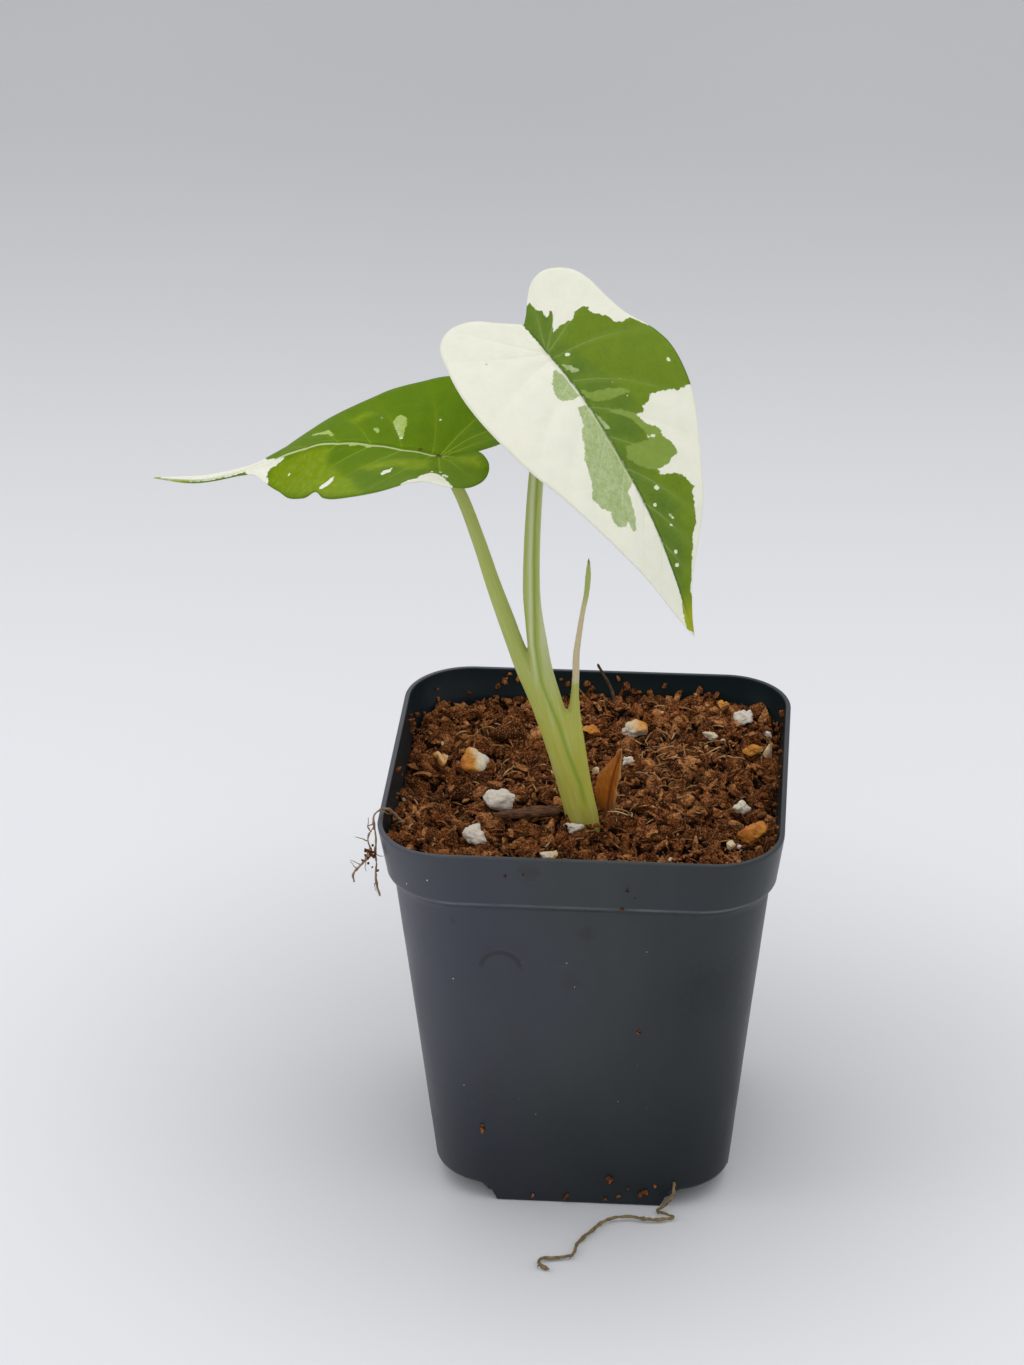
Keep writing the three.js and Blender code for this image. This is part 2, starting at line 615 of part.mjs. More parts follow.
/** A blade as two alike faces, half its thickness to each side of the drawn surface. */
function bladeGeometry(leaf, thickness) {
  const rows = 38;
  const columns = 4;
  const curve = new THREE.CatmullRomCurve3(leaf.midrib.map(vector));
  const tip = curve.getLength();
  const halves = [[-1, bladeOutline(leaf, leaf.rightHand, tip)], [1, bladeOutline(leaf, leaf.leftHand, tip)]];
  const width = 2 * columns + 1;
  const middle = [bladePoint(leaf, curve, leaf.notch, 0)];
  for (let row = 1; row < rows; row += 1) {
    const share = row / rows;
    const ribX = share < leaf.stalkShare
      ? leaf.notch * (1 - share / leaf.stalkShare)
      : tip * ((share - leaf.stalkShare) / (1 - leaf.stalkShare)) ** 1.12;
    for (let column = -columns; column <= columns; column += 1) {
      const [side, outline] = halves[column > 0 ? 1 : 0];
      const edge = outline.getPointAt(share);
      const out = Math.abs(column) / columns;
      middle.push(bladePoint(leaf, curve, THREE.MathUtils.lerp(ribX, edge.x, out), side * out * edge.y));
    }
  }
  middle.push(bladePoint(leaf, curve, tip, 0));

  const face = bladeFace(rows, width, middle.length - 1);
  const surface = indexedGeometry(middle, face);
  surface.computeVertexNormals();
  const normals = surface.getAttribute('normal');
  const shift = (side) => middle.map((point, i) => point.clone()
    .addScaledVector(new THREE.Vector3().fromBufferAttribute(normals, i), side * thickness / 2));
  const under = face.map((_, i) => middle.length + face[i - (i % 3) + (2 - (i % 3))]);
  const rim = [0];
  for (let row = 1; row < rows; row += 1) rim.push((row - 1) * width + 1);
  rim.push(middle.length - 1);
  for (let row = rows - 1; row > 0; row -= 1) rim.push(row * width);
  const band = rim.flatMap((a, i) => {
    const b = rim[(i + 1) % rim.length];
    return [a, a + middle.length, b + middle.length, a, b + middle.length, b];
  });
  return indexedGeometry([...shift(1), ...shift(-1)], [...face, ...under, ...band]);
}

/** The triangles of one face: a fan at the notch, strips between the rows, a fan at the tip. */
function bladeFace(rows, width, tip) {
  const at = (row, column) => 1 + (row - 1) * width + column;
  const index = [];
  for (let column = 0; column + 1 < width; column += 1) {
    index.push(0, at(1, column), at(1, column + 1));
    index.push(tip, at(rows - 1, column + 1), at(rows - 1, column));
    for (let row = 1; row + 1 < rows; row += 1) {
      index.push(at(row, column), at(row + 1, column), at(row + 1, column + 1));
      index.push(at(row, column), at(row + 1, column + 1), at(row, column + 1));
    }
  }
  return index;
}

// Roots

function rimRootGeometry() {
  const strand = toSolid(taperedTube(RIM_ROOT_STRAND, 30, 6));
  return toGeometry(strand.add(toSolid(taperedTube(RIM_ROOT_BRANCH, 16, 6))));
}

// The whole plant

function piece(name, geometry, look) {
  const mesh = new THREE.Mesh(geometry, new THREE.MeshStandardMaterial(look));
  mesh.name = name;
  return mesh;
}

const plant = new THREE.Group();
plant.add(
  piece('pot', potGeometry(), COLOURS.pot),
  piece('soil', soilGeometry(), COLOURS.soil),
  piece('stem', stemGeometry(), COLOURS.stem),
  piece('right_leaf', bladeGeometry(RIGHT_LEAF, BLADE_THICKNESS), COLOURS.rightLeaf),
  piece('left_leaf', bladeGeometry(LEFT_LEAF, BLADE_THICKNESS), COLOURS.leftLeaf),
  piece('dry_sheath', drySheathGeometry(), COLOURS.drySheath),
  piece('bark_chip', barkChipGeometry(), COLOURS.bark),
  piece('floor_root', taperedTube(FLOOR_ROOT, 40, 6), COLOURS.root),
  piece('rim_root', rimRootGeometry(), COLOURS.root),
  piece('back_twig', taperedTube(BACK_TWIG, 8, 6), COLOURS.root),
);
STONES.forEach((stone, number) => {
  plant.add(piece(stone[0], stoneGeometry(stone, 11 + number), COLOURS[stone[7]]));
});

export default plant;
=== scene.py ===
# A young variegated alocasia in a small square nursery pot: its finished surfaces.
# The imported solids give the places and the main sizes. Shapes are worked out in millimetres in
# the pot's frame (+Z up, -Y to the front) and become metres where a mesh is made.
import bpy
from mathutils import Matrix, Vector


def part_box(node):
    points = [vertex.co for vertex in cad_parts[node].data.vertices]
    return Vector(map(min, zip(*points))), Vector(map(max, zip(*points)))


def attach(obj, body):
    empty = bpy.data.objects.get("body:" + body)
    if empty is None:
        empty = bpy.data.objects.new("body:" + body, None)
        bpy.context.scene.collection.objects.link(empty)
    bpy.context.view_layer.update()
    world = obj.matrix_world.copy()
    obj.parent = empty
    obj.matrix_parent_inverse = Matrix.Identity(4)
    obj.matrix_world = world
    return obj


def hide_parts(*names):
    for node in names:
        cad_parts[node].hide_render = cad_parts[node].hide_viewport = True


bl_info = {
    "name": "Potted Variegated Alocasia",
    "version": (1, 0, 0),
    "blender": (4, 5, 0),
    "location": "3D View > Sidebar > Alocasia",
    "description": "Builds the finished surfaces of a young variegated alocasia in a nursery pot",
    "category": "Add Mesh",
}

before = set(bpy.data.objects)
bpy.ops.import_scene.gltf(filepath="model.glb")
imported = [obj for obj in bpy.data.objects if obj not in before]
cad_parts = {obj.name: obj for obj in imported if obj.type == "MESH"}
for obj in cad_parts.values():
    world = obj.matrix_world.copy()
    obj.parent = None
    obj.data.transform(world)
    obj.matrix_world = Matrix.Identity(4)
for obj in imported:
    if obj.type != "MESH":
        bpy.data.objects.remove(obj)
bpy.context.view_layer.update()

import itertools
import math

import bmesh
import bpy
import numpy as np
from bpy.props import FloatProperty, FloatVectorProperty, IntProperty, PointerProperty
from mathutils import Matrix, Vector
from mathutils.bvhtree import BVHTree

MM = 0.001


def paint(red, green, blue):
    """A screen colour with 0 to 255 a channel, as the linear colour that shaders take."""
    shares = (value / 255 for value in (red, green, blue))
    return tuple(s / 12.92 if s <= 0.04045 else ((s + 0.055) / 1.055) ** 2.4 for s in shares)


def length(name, description, millimetres):
    return FloatProperty(name=name, description=description, default=millimetres * MM, min=0, unit="LENGTH")


def colour(name, description, red, green, blue):
    tone = paint(red, green, blue)
    return FloatVectorProperty(name=name, description=description, default=tone, size=3, min=0, max=1,
                               subtype="COLOR")


def how_many(name, description, default):
    return IntProperty(name=name, description=description, default=default, min=0)


def angle_of(name, description, degrees):
    return FloatProperty(name=name, description=description, default=math.radians(degrees), subtype="ANGLE")


# Settings that a user would change


class PotSettings(bpy.types.PropertyGroup):
    wall: length("Wall", "Thickness of the pot's wall", 1.0)
    dent: length("Dent", "Depth of the arched dent in the front wall", 0.22)
    plastic: colour("Plastic", "Colour of the moulded plastic", 35, 41, 45)
    tint: colour("Blue tint", "Colour that the plastic drifts to on one side", 37, 40, 56)
    gloss: FloatProperty(name="Gloss", description="How tightly the plastic reflects the lights",
                         default=0.58, min=0, max=1, subtype="FACTOR")


class SoilSettings(bpy.types.PropertyGroup):
    chips: how_many("Chips", "Number of large coir chips", 600)
    crumbs: how_many("Crumbs", "Number of small crumbs", 2400)
    fibres: how_many("Fibres", "Number of loose fibres", 420)
    shreds: how_many("Shreds", "Number of thin flat shreds", 620)
    chip_size: length("Chip size", "Length of the largest chips", 4.8)
    # Dark is also the colour of the painted shade, nearly black, low between the crumbs
    dark: colour("Dark", "Colour of the damp crumbs deep down", 44, 20, 8)
    brown: colour("Brown", "Colour of most of the chips", 148, 84, 40)
    light: colour("Light", "Colour of the driest chips", 218, 150, 92)
    fibre: colour("Fibre", "Colour of the loose fibres", 210, 176, 130)


class StemSettings(bpy.types.PropertyGroup):
    groove: length("Groove", "Depth of the channel along the right stalk", 0.14)
    skin: colour("Skin", "Colour of the stalks", 168, 177, 92)
    pale: colour("Pale band", "Colour of the pale bands along the stalks", 202, 206, 168)
    line: colour("Green line", "Colour of the green line in the channel", 112, 146, 22)
    foot: colour("Foot", "Colour of the stem above the soil", 182, 180, 74)
    tan: colour("Tan point", "Colour of the dried stretch of the sheath point", 206, 190, 156)


class LeafSettings(bpy.types.PropertyGroup):
    thickness: length("Thickness", "Thickness of a blade away from its veins", 0.42)
    quilting: length("Quilting", "Swelling of the blade between its veins", 0.16)
    cream: colour("Cream", "Colour of the unpigmented parts", 229, 228, 213)
    right_green: colour("Right green", "Green of the right leaf", 103, 126, 32)
    right_dark: colour("Right dark green", "Green of the right leaf beside its midrib", 74, 104, 46)
    right_light: colour("Right light green", "Half-pigmented patches of the right leaf", 128, 150, 66)
    grey_green: colour("Grey green", "Thinly pigmented patches of the right leaf", 146, 164, 100)
    left_green: colour("Left green", "Green of the left leaf", 88, 117, 0)
    left_dark: colour("Left dark green", "Deeper green of the left leaf", 82, 112, 0)
    left_light: colour("Left light green", "Lighter green of the left leaf", 116, 138, 0)
    left_grey: colour("Left grey green", "Pale marks and veins of the left leaf", 156, 178, 64)


class GritSettings(bpy.types.PropertyGroup):
    roughness: length("Relief", "Depth of the pits in the mineral grains", 0.6)
    white: colour("White", "Colour of the white grains", 214, 204, 192)
    cream: colour("Cream", "Colour of the cream grains", 222, 204, 160)
    amber: colour("Amber", "Colour of the stained grains", 208, 138, 48)


class LitterSettings(bpy.types.PropertyGroup):
    root: colour("Root", "Colour of the dry roots", 112, 88, 64)
    sheath: colour("Sheath", "Colour of the dry sheath", 146, 74, 12)
    bark: colour("Bark", "Colour of the bark chip", 50, 31, 20)


class StageSettings(bpy.types.PropertyGroup):
    floor: colour("Floor", "Colour of the floor", 224, 225, 229)
    azimuth: angle_of("Azimuth", "Camera's turn to the right of the front", 4.745)
    elevation: angle_of("Elevation", "Camera's height angle", 27.82)
    roll: angle_of("Roll", "Camera's turn about its own line of sight", -0.33)
    place: FloatVectorProperty(name="Camera place", description="Centre of the camera's lens",
                               default=(0.04302, -0.69356, 0.46511), size=3, unit="LENGTH")
    lens: FloatProperty(name="Lens", description="Focal length on a 36 mm tall picture", default=110.77)


SETTINGS = {
    "pot": PotSettings,
    "soil": SoilSettings,
    "stem": StemSettings,
    "leaf": LeafSettings,
    "grit": GritSettings,
    "litter": LitterSettings,
    "stage": StageSettings,
}


def settings(group):
    """The scene's own values of one group of settings."""
    return getattr(bpy.context.scene, "alocasia_" + group)


# Random relief


def lattice(cell, seed):
    """Repeatable values from -1 to 1 at whole-numbered places."""
    mixed = (cell[..., 0] * 73856093) ^ (cell[..., 1] * 19349663) ^ (cell[..., 2] * 83492791)
    mixed = mixed ^ (seed * 7919)
    mixed = (mixed ^ (mixed >> 13)) * 1274126177
    return ((mixed ^ (mixed >> 16)) & 0xFFFF) / 32767.5 - 1.0


def relief(points, size, seed, octaves=1):
    """Smooth random relief from about -1 to 1 whose lumps are size across."""
    total = np.zeros(len(points))
    for octave in range(octaves):
        spot = np.asarray(points) / size * 2**octave + 0.37 * seed
        cell = np.floor(spot).astype(np.int64)
        part = spot - cell
        part = part * part * (3 - 2 * part)
        for corner in itertools.product((0, 1), repeat=3):
            weight = np.prod(np.where(corner, part, 1 - part), axis=-1)
            total += 0.5**octave * weight * lattice(cell + np.array(corner), seed + octave)
    return total


def smoothstep(value, low, high):
    """Goes smoothly from 0 to 1 as value goes from low to high."""
    part = np.clip((value - low) / (high - low), 0, 1)
    return part * part * (3 - 2 * part)


# Curves and meshes


def smooth_curve(stops, count):
    """Points evenly spaced along a centripetal curve through the stops, and its length."""
    stops = np.asarray(stops, float)
    ahead = np.vstack([2 * stops[0] - stops[1], stops, 2 * stops[-1] - stops[-2]])
    fine = [stops[0]]
    for before, start, end, after in zip(ahead, ahead[1:], ahead[2:], ahead[3:]):
        gaps = [max(np.linalg.norm((b - a)[:3]) ** 0.5, 1e-4)
                for a, b in ((before, start), (start, end), (end, after))]
        leave = ((start - before) / gaps[0] - (end - before) / (gaps[0] + gaps[1])
                 + (end - start) / gaps[1]) * gaps[1]
        arrive = ((end - start) / gaps[1] - (after - start) / (gaps[1] + gaps[2])
                  + (after - end) / gaps[2]) * gaps[1]
        for part in np.linspace(0, 1, 41)[1:]:
            square, cube = part**2, part**3
            fine.append((2 * cube - 3 * square + 1) * start + (cube - 2 * square + part) * leave
                        + (3 * square - 2 * cube) * end + (cube - square) * arrive)
    fine = np.array(fine)
    walked = np.r_[0, np.cumsum(np.linalg.norm(np.diff(fine[:, :3], axis=0), axis=1))]
    even = np.linspace(0, walked[-1], count)
    return np.column_stack([np.interp(even, walked, column) for column in fine.T]), walked[-1]


def unit(vectors):
    return vectors / np.maximum(np.linalg.norm(vectors, axis=-1, keepdims=True), 1e-9)


def loft_faces(rings, count):
    """Faces between rings of count points, anticlockwise seen from the last, and on both ends."""
    faces = []
    for ring in range(rings - 1):
        for i in range(count):
            here, beside = ring * count + i, ring * count + (i + 1) % count
            faces.append((here, beside, beside + count, here + count))
    faces.append(tuple(range(count - 1, -1, -1)))
    faces.append(tuple(range((rings - 1) * count, rings * count)))
    return faces


def tube(stops, steps, sides, flat=1.0, roll=0.0):
    """A tube through x, y, z, radius stops, flattened to a share of its width and rolled over."""
    line, _ = smooth_curve(stops, steps)
    centres, radii = line[:, :3], line[:, 3:]
    along = unit(np.gradient(centres, axis=0))
    front = np.array([0.0, -1.0, 0.0]) if abs(along[:, 1]).max() < 0.9 else np.array([0.0, 0.0, 1.0])
    normal = unit(front - along[0] * (along[0] @ front))
    angle = np.linspace(0, 2 * math.pi, sides, endpoint=False)[:, None]
    rings = []
    for centre, radius, direction in zip(centres, radii, along):
        normal = unit(normal - direction * (direction @ normal))
        across = np.cross(direction, normal)
        thin = math.cos(roll) * normal + math.sin(roll) * across
        wide = math.cos(roll) * across - math.sin(roll) * normal
        rings.append(centre + radius * (flat * np.cos(angle) * thin + np.sin(angle) * wide))
    return np.vstack(rings), loft_faces(steps, sides)


class Heap:
    """Collects many small shapes into the arrays of one mesh."""

    def __init__(self):
        self.points, self.faces, self.values, self.count = [], [], {}, 0

    def add(self, points, faces, **values):
        self.points.append(points)
        self.faces.extend(tuple(index + self.count for index in face) for face in faces)
        for name, numbers in values.items():
            self.values.setdefault(name, []).append(np.broadcast_to(numbers, len(points)))
        self.count += len(points)

    def shape(self):
        return np.vstack(self.points), self.faces

    def piece(self, name, look, slot, sharp=None):
        values = {label: np.concatenate(numbers) for label, numbers in self.values.items()}
        add_piece(name, *self.shape(), look, slot, values=values, sharp=sharp)


def add_object(name, data):
    """An object in the scene for a mesh, a light or a camera."""
    made = bpy.data.objects.new(name, data)
    bpy.context.scene.collection.objects.link(made)
    return made


def add_mesh(name, points, faces):
    """An object from points in millimetres and faces."""
    mesh = bpy.data.meshes.new(name)
    faces = [tuple(int(i) for i in face) for face in faces]
    mesh.from_pydata((np.asarray(points) * MM).tolist(), [], faces)
    mesh.update()
    return add_object(name, mesh)


def add_piece(name, points, faces, look, slot, replaced=(), values=None, sharp=None):
    """A finished piece of the plant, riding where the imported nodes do."""
    made = add_mesh(name, points, faces)
    mesh = made.data
    for label, numbers in (values or {}).items():
        attribute = mesh.attributes.new(label, "FLOAT", "POINT")
        attribute.data.foreach_set("value", np.asarray(numbers, np.float32))
    mesh.shade_smooth()
    if sharp is not None:
        mesh.set_sharp_from_angle(angle=math.radians(sharp))
    mesh.materials.append(look)
    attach(made, "root")
    if replaced:
        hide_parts(*replaced)


def worked(mesh, modifiers):
    """What modifiers make of a mesh: points in millimetres, and faces."""
    held = add_object("worked", mesh)
    for kind, options in modifiers:
        modifier = held.modifiers.new(kind, kind)
        for option, value in options.items():
            setattr(modifier, option, value)
    finished = held.evaluated_get(bpy.context.evaluated_depsgraph_get()).to_mesh()
    points = np.empty(3 * len(finished.vertices))
    finished.vertices.foreach_get("co", points)
    faces = [tuple(face.vertices) for face in finished.polygons]
    bpy.data.objects.remove(held)
    return points.reshape(-1, 3) / MM, faces


def refined_node(node, levels):
    """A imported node's shape, welded and rounded by subdivision."""
    steps = [("WELD", {"merge_threshold": 1e-5}), ("SUBSURF", {"levels": levels, "render_levels": levels})]
    return worked(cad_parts[node].data, steps)


def vertex_normals(points, faces):
    """The mean normal of the three- and four-sided faces round each point."""
    normals = np.zeros_like(points)
    for sides in {len(face) for face in faces}:
        group = np.array([face for face in faces if len(face) == sides])
        first, second, third, last = (points[group[:, corner]] for corner in (0, 1, 2, -1))
        across = (third - first, last - second) if sides == 4 else (second - first, third - first)
        facing = np.cross(*across)
        for corner in range(sides):
            np.add.at(normals, group[:, corner], facing)
    return unit(normals)


def edit_mesh_shape(build):
    """Points and faces of an edit mesh, which is then let go."""
    build.verts.index_update()
    points = np.array([vert.co for vert in build.verts])
    faces = [tuple(vert.index for vert in face.verts) for face in build.faces]
    build.free()
    return points, faces


# Materials


class Look:
    """One procedural material, built node by node round a principled shader."""

    def __init__(self, name):
        self.material = bpy.data.materials.new(name)
        self.material.use_nodes = True
        self.tree = self.material.node_tree
        self.tree.nodes.clear()
        self.shader = self.node("ShaderNodeBsdfPrincipled")
        output = self.node("ShaderNodeOutputMaterial")
        self.tree.links.new(self.shader.outputs[0], output.inputs["Surface"])

    def node(self, kind, **options):
        made = self.tree.nodes.new(kind)
        for option, value in options.items():
            setattr(made, option, value)
        return made

    def feed(self, socket, value):
        """Links another node's output to a socket, or sets the socket itself."""
        if isinstance(value, bpy.types.NodeSocket):
            self.tree.links.new(value, socket)
        elif hasattr(value, "__len__") and len(value) == 3 and socket.type == "RGBA":
            socket.default_value = (*value, 1)
        else:
            socket.default_value = value

    def value(self, name):
        """A number stored at each point of the mesh."""
        return self.node("ShaderNodeAttribute", attribute_name=name).outputs["Fac"]

    def place(self, stretch=(1, 1, 1)):
        """The place on the piece, in metres, stretched for a grain that runs one way."""
        where = self.node("ShaderNodeTexCoord").outputs["Object"]
        if stretch == (1, 1, 1):
            return where
        mapping = self.node("ShaderNodeMapping")
        self.feed(mapping.inputs["Vector"], where)
        self.feed(mapping.inputs["Scale"], stretch)
        return mapping.outputs["Vector"]

    def position(self, axis):
        """The place on the piece along X, Y or Z, in millimetres."""
        split = self.node("ShaderNodeSeparateXYZ")
        self.feed(split.inputs[0], self.place())
        return self.times(split.outputs[axis], 1 / MM)

    def join(self, *parts):
        """A place made of three numbers."""
        made = self.node("ShaderNodeCombineXYZ")
        for socket, part in zip(made.inputs, parts):
            self.feed(socket, part)
        return made.outputs[0]

    def cloud(self, size, detail=2.0, roughness=0.5, stretch=(1, 1, 1), seed=0.0, where=None,
              scale_by=1 / MM):
        """Soft random variation from 0 to 1 with features size millimetres across."""
        texture = self.node("ShaderNodeTexNoise", noise_dimensions="4D")
        self.feed(texture.inputs["Vector"], self.place(stretch) if where is None else where)
        self.feed(texture.inputs["W"], seed)
        self.feed(texture.inputs["Scale"], scale_by / size)
        self.feed(texture.inputs["Detail"], detail)
        self.feed(texture.inputs["Roughness"], roughness)
        return texture.outputs["Fac"]

    def cells(self, size, feature="F1", where=None, scale_by=1 / MM):
        """Distance to the nearest of many scattered points, size millimetres apart."""
        texture = self.node("ShaderNodeTexVoronoi", feature=feature)
        self.feed(texture.inputs["Vector"], self.place() if where is None else where)
        self.feed(texture.inputs["Scale"], scale_by / size)
        return texture.outputs["Distance"]

    def math(self, operation, first, second=0.0):
        made = self.node("ShaderNodeMath", operation=operation)
        self.feed(made.inputs[0], first)
        self.feed(made.inputs[1], second)
        return made.outputs[0]

    def times(self, first, second):
        return self.math("MULTIPLY", first, second)

    def plus(self, first, second):
        return self.math("ADD", first, second)

    def gap(self, first, second):
        """How far apart two numbers are."""
        return self.math("ABSOLUTE", self.math("SUBTRACT", first, second))

    def distance(self, first, second, middle=(0, 0)):
        """How far a place with two coordinates is from a middle."""
        squares = [self.math("POWER", self.gap(*pair), 2) for pair in zip((first, second), middle)]
        return self.math("POWER", self.plus(*squares), 0.5)

    def ease(self, value, low, high, start=0.0, end=1.0):
        """Goes smoothly from start to end as value goes from low to high."""
        made = self.node("ShaderNodeMapRange", interpolation_type="SMOOTHSTEP")
        for socket, number in zip(made.inputs, (value, low, high, start, end)):
            self.feed(socket, number)
        return made.outputs[0]

    def mix(self, amount, first, second):
        """Goes from the first colour to the second as the amount goes from 0 to 1."""
        made = self.node("ShaderNodeMix", data_type="RGBA")
        self.feed(made.inputs["Factor"], amount)
        sockets = [socket for socket in made.inputs if socket.type == "RGBA"]
        self.feed(sockets[0], first)
        self.feed(sockets[1], second)
        return [socket for socket in made.outputs if socket.type == "RGBA"][0]

    def ramp(self, value, *stops):
        """Colours along a scale from 0 to 1."""
        made = self.node("ShaderNodeValToRGB")
        elements = made.color_ramp.elements
        while len(elements) < len(stops):
            elements.new(0.5)
        for element, (position, tone) in zip(elements, stops):
            element.position = position
            element.color = (*tone, 1)
        self.feed(made.inputs["Fac"], value)
        return made.outputs["Color"]

    def bump(self, height, depth, below=None):
        """Fine relief, depth millimetres for a height of one, on top of any other."""
        made = self.node("ShaderNodeBump")
        self.feed(made.inputs["Height"], height)
        self.feed(made.inputs["Distance"], depth * MM)
        self.feed(made.inputs["Strength"], 1.0)
        if below is not None:
            self.feed(made.inputs["Normal"], below)
        return made.outputs["Normal"]

    def finish(self, **inputs):
        """Sets the shader's inputs, named with underlines for spaces, and gives the material."""
        names = {"base": "Base Color", "specular": "Specular IOR Level", "coat": "Coat Weight",
                 "subsurface": "Subsurface Weight"}
        for name, value in inputs.items():
            self.feed(self.shader.inputs[names.get(name, name.replace("_", " ").title())], value)
        return self.material


# The nursery pot

# Outside profile, bottom to top: height, half width and corner radius
POT_PROFILE = [
    (0, 27.55, 11.25), (0.12, 27.78, 11.48), (0.4, 27.92, 11.6), (67.8, 34.9, 14.7),
    (68.7, 35.04, 14.7), (69.5, 35.3, 14.65), (70.1, 35.8, 14.55), (70.45, 36.08, 14.45),
    (70.8, 36.22, 14.4), (71.3, 36.27, 14.36), (80.9, 37.48, 13.02), (81.25, 37.5, 13),
    (81.42, 37.4, 12.9), (81.5, 37.2, 12.75),
]
# Moulded lines inside the wall: height, and how far the wall steps in there
MOULD_LINES = [(78.2, 0.14), (76.0, 0.16)]
RIM_TOP = 81.5
LIP_INNER_RADIUS = 0.3
# Height of the edge under the rim band, where a highlight line is painted
BAND_EDGE = 70.95
FLOOR_THICKNESS = 1.2
CORNER_RISE = 3.5
CORNER_FILLET = 1.4
FOOT_HALF = 15.6
SIDE_FOOT_HALF = 11.5
DRAIN_PLACE = 21.8
DRAIN_RADIUS = 2.6
DRAIN_SIDES = 32
# The outside is divided more finely below this height, for the raised corners
FINE_BELOW = 8
SIDE_STEPS = 56
CORNER_STEPS = 20
# The arched dent in the front wall: x, z and radius
FRONT_DENT = (-14.2, 55.6, 3.7)
# Dark marks on the front wall: x, z, radius and strength
WALL_MARKS = [
    (-22.9, 66.1, 0.7, 0.6), (8.4, 70.9, 0.5, 0.6), (1.8, 64.6, 1.6, 0.5), (-1.3, 53.2, 1.9, 0.35),
    (1.6, 70.4, 0.6, 0.5), (-8.6, 78.6, 2.0, 0.45), (26, 52, 6.5, 0.3),
]
# Pale specks on the front wall: x, z and size
WALL_SPECKS = [
    (-23.1, 52.7, 0.5), (-1.9, 57.6, 0.35), (-0.5, 52.2, 0.3), (-27.3, 75.6, 0.45), (11.2, 34.2, 0.3),
    (-31.4, 73, 0.4), (-21.6, 27.5, 0.25), (-8.0, 21.5, 0.22), (7.6, 25.5, 0.25), (12.9, 60.9, 0.3),
]


def rounded_square(half, corner):
    """Points round a square with rounded corners, anticlockwise."""
    flat = half - corner
    run = np.linspace(-flat, flat, SIDE_STEPS, endpoint=False)
    angle = np.linspace(0, math.pi / 2, CORNER_STEPS, endpoint=False)
    quarter = np.vstack([
        np.column_stack([np.full_like(run, half), run]),
        np.column_stack([flat + corner * np.cos(angle), flat + corner * np.sin(angle)]),
    ])
    rings = []
    for _ in range(4):
        rings.append(quarter)
        quarter = quarter @ np.array([[0, 1], [-1, 0]])
    return np.vstack(rings)


def profile_at(height):
    """Half width and corner radius of the pot's outside at a height."""
    heights, halves, corners = np.array(POT_PROFILE).T
    return np.interp(height, heights, halves), np.interp(height, heights, corners)


def square_loft(levels):
    """A closed solid through rounded squares: height, half width and corner radius."""
    rings = []
    for height, half, corner in levels:
        ring = rounded_square(half, corner)
        rings.append(np.column_stack([ring, np.full(len(ring), height)]))
    return np.vstack(rings), loft_faces(len(rings), len(rings[0]))


def pot_outside():
    """The outside with its slight waves and the arched dent."""
    stops = sorted([FINE_BELOW, *(level[0] for level in POT_PROFILE)])
    levels = []
    for low, high in zip(stops, stops[1:]):
        count = max(1, round((high - low) / (0.3 if high <= FINE_BELOW else 0.75)))
        levels += [(z, *profile_at(z)) for z in np.linspace(low, high, count, endpoint=False)]
    levels.append(POT_PROFILE[-1])
    points, faces = square_loft(levels)
    outward = unit(points * [1, 1, 0])
    wave = 0.09 * relief(points * [1, 1, 0.5], 17, 5) + 0.03 * relief(points, 6, 9)
    dent_x, dent_z, radius = FRONT_DENT
    reach = np.hypot(points[:, 0] - dent_x, points[:, 2] - dent_z)
    arch = np.exp(-((reach - radius) / 0.55) ** 2) * smoothstep(points[:, 2], dent_z - 0.5, dent_z + 1.5)
    bowl_x, bowl_z = (points[:, 0] - dent_x + 2) / 1.6, (points[:, 2] - dent_z - 1.6) / 1.2
    bowl = 0.7 * np.exp(-bowl_x**2 - bowl_z**2)
    dent = (arch + bowl) * (points[:, 1] < -20) * settings("pot").dent / MM
    calm = smoothstep(points[:, 2], 0.5, 3) * (1 - smoothstep(points[:, 2], 66, 68))
    rim = smoothstep(points[:, 2], 71, 73) * (1 - smoothstep(points[:, 2], 79, 80.8))
    over = np.clip((CORNER_RISE + CORNER_FILLET - points[:, 2]) / CORNER_FILLET, 0, 1)
    at_corner = smoothstep(np.abs(points[:, :2]).min(1), FOOT_HALF + 1.5, FOOT_HALF + 4)
    fillet = CORNER_FILLET * (1 - np.sqrt(1 - over**2)) * at_corner
    points += outward * (wave * (calm + 0.6 * rim) - dent - fillet)[:, None]
    return points, faces


def pot_cavity(wall):
    """The space inside the pot, running out over its rim."""
    levels = [(FLOOR_THICKNESS, 27.9 - wall, 11.6 - wall)]
    for z in np.linspace(3, 74, 15):
        half, corner = profile_at(z)
        levels.append((z, half - wall, corner - wall))
    step = sum(depth for _, depth in MOULD_LINES)
    for line, depth in sorted(MOULD_LINES):
        for z, narrowing in ((line - 0.3, step), (line + 0.1, step - depth)):
            half, corner = profile_at(z)
            levels.append((z, half - wall - narrowing, corner - wall - narrowing))
        step -= depth
    half, corner = profile_at(RIM_TOP - 0.5)
    rim, lip = half - wall, RIM_TOP - LIP_INNER_RADIUS
    levels.append((lip, rim, corner - wall))
    for turn in np.radians(np.linspace(20, 90, 4)):
        rise, spread = LIP_INNER_RADIUS * math.sin(turn), LIP_INNER_RADIUS * (1 - math.cos(turn))
        levels.append((lip + rise, rim + spread, corner - wall))
    levels.append((RIM_TOP + 2.5, rim + LIP_INNER_RADIUS, corner - wall))
    return square_loft(levels)


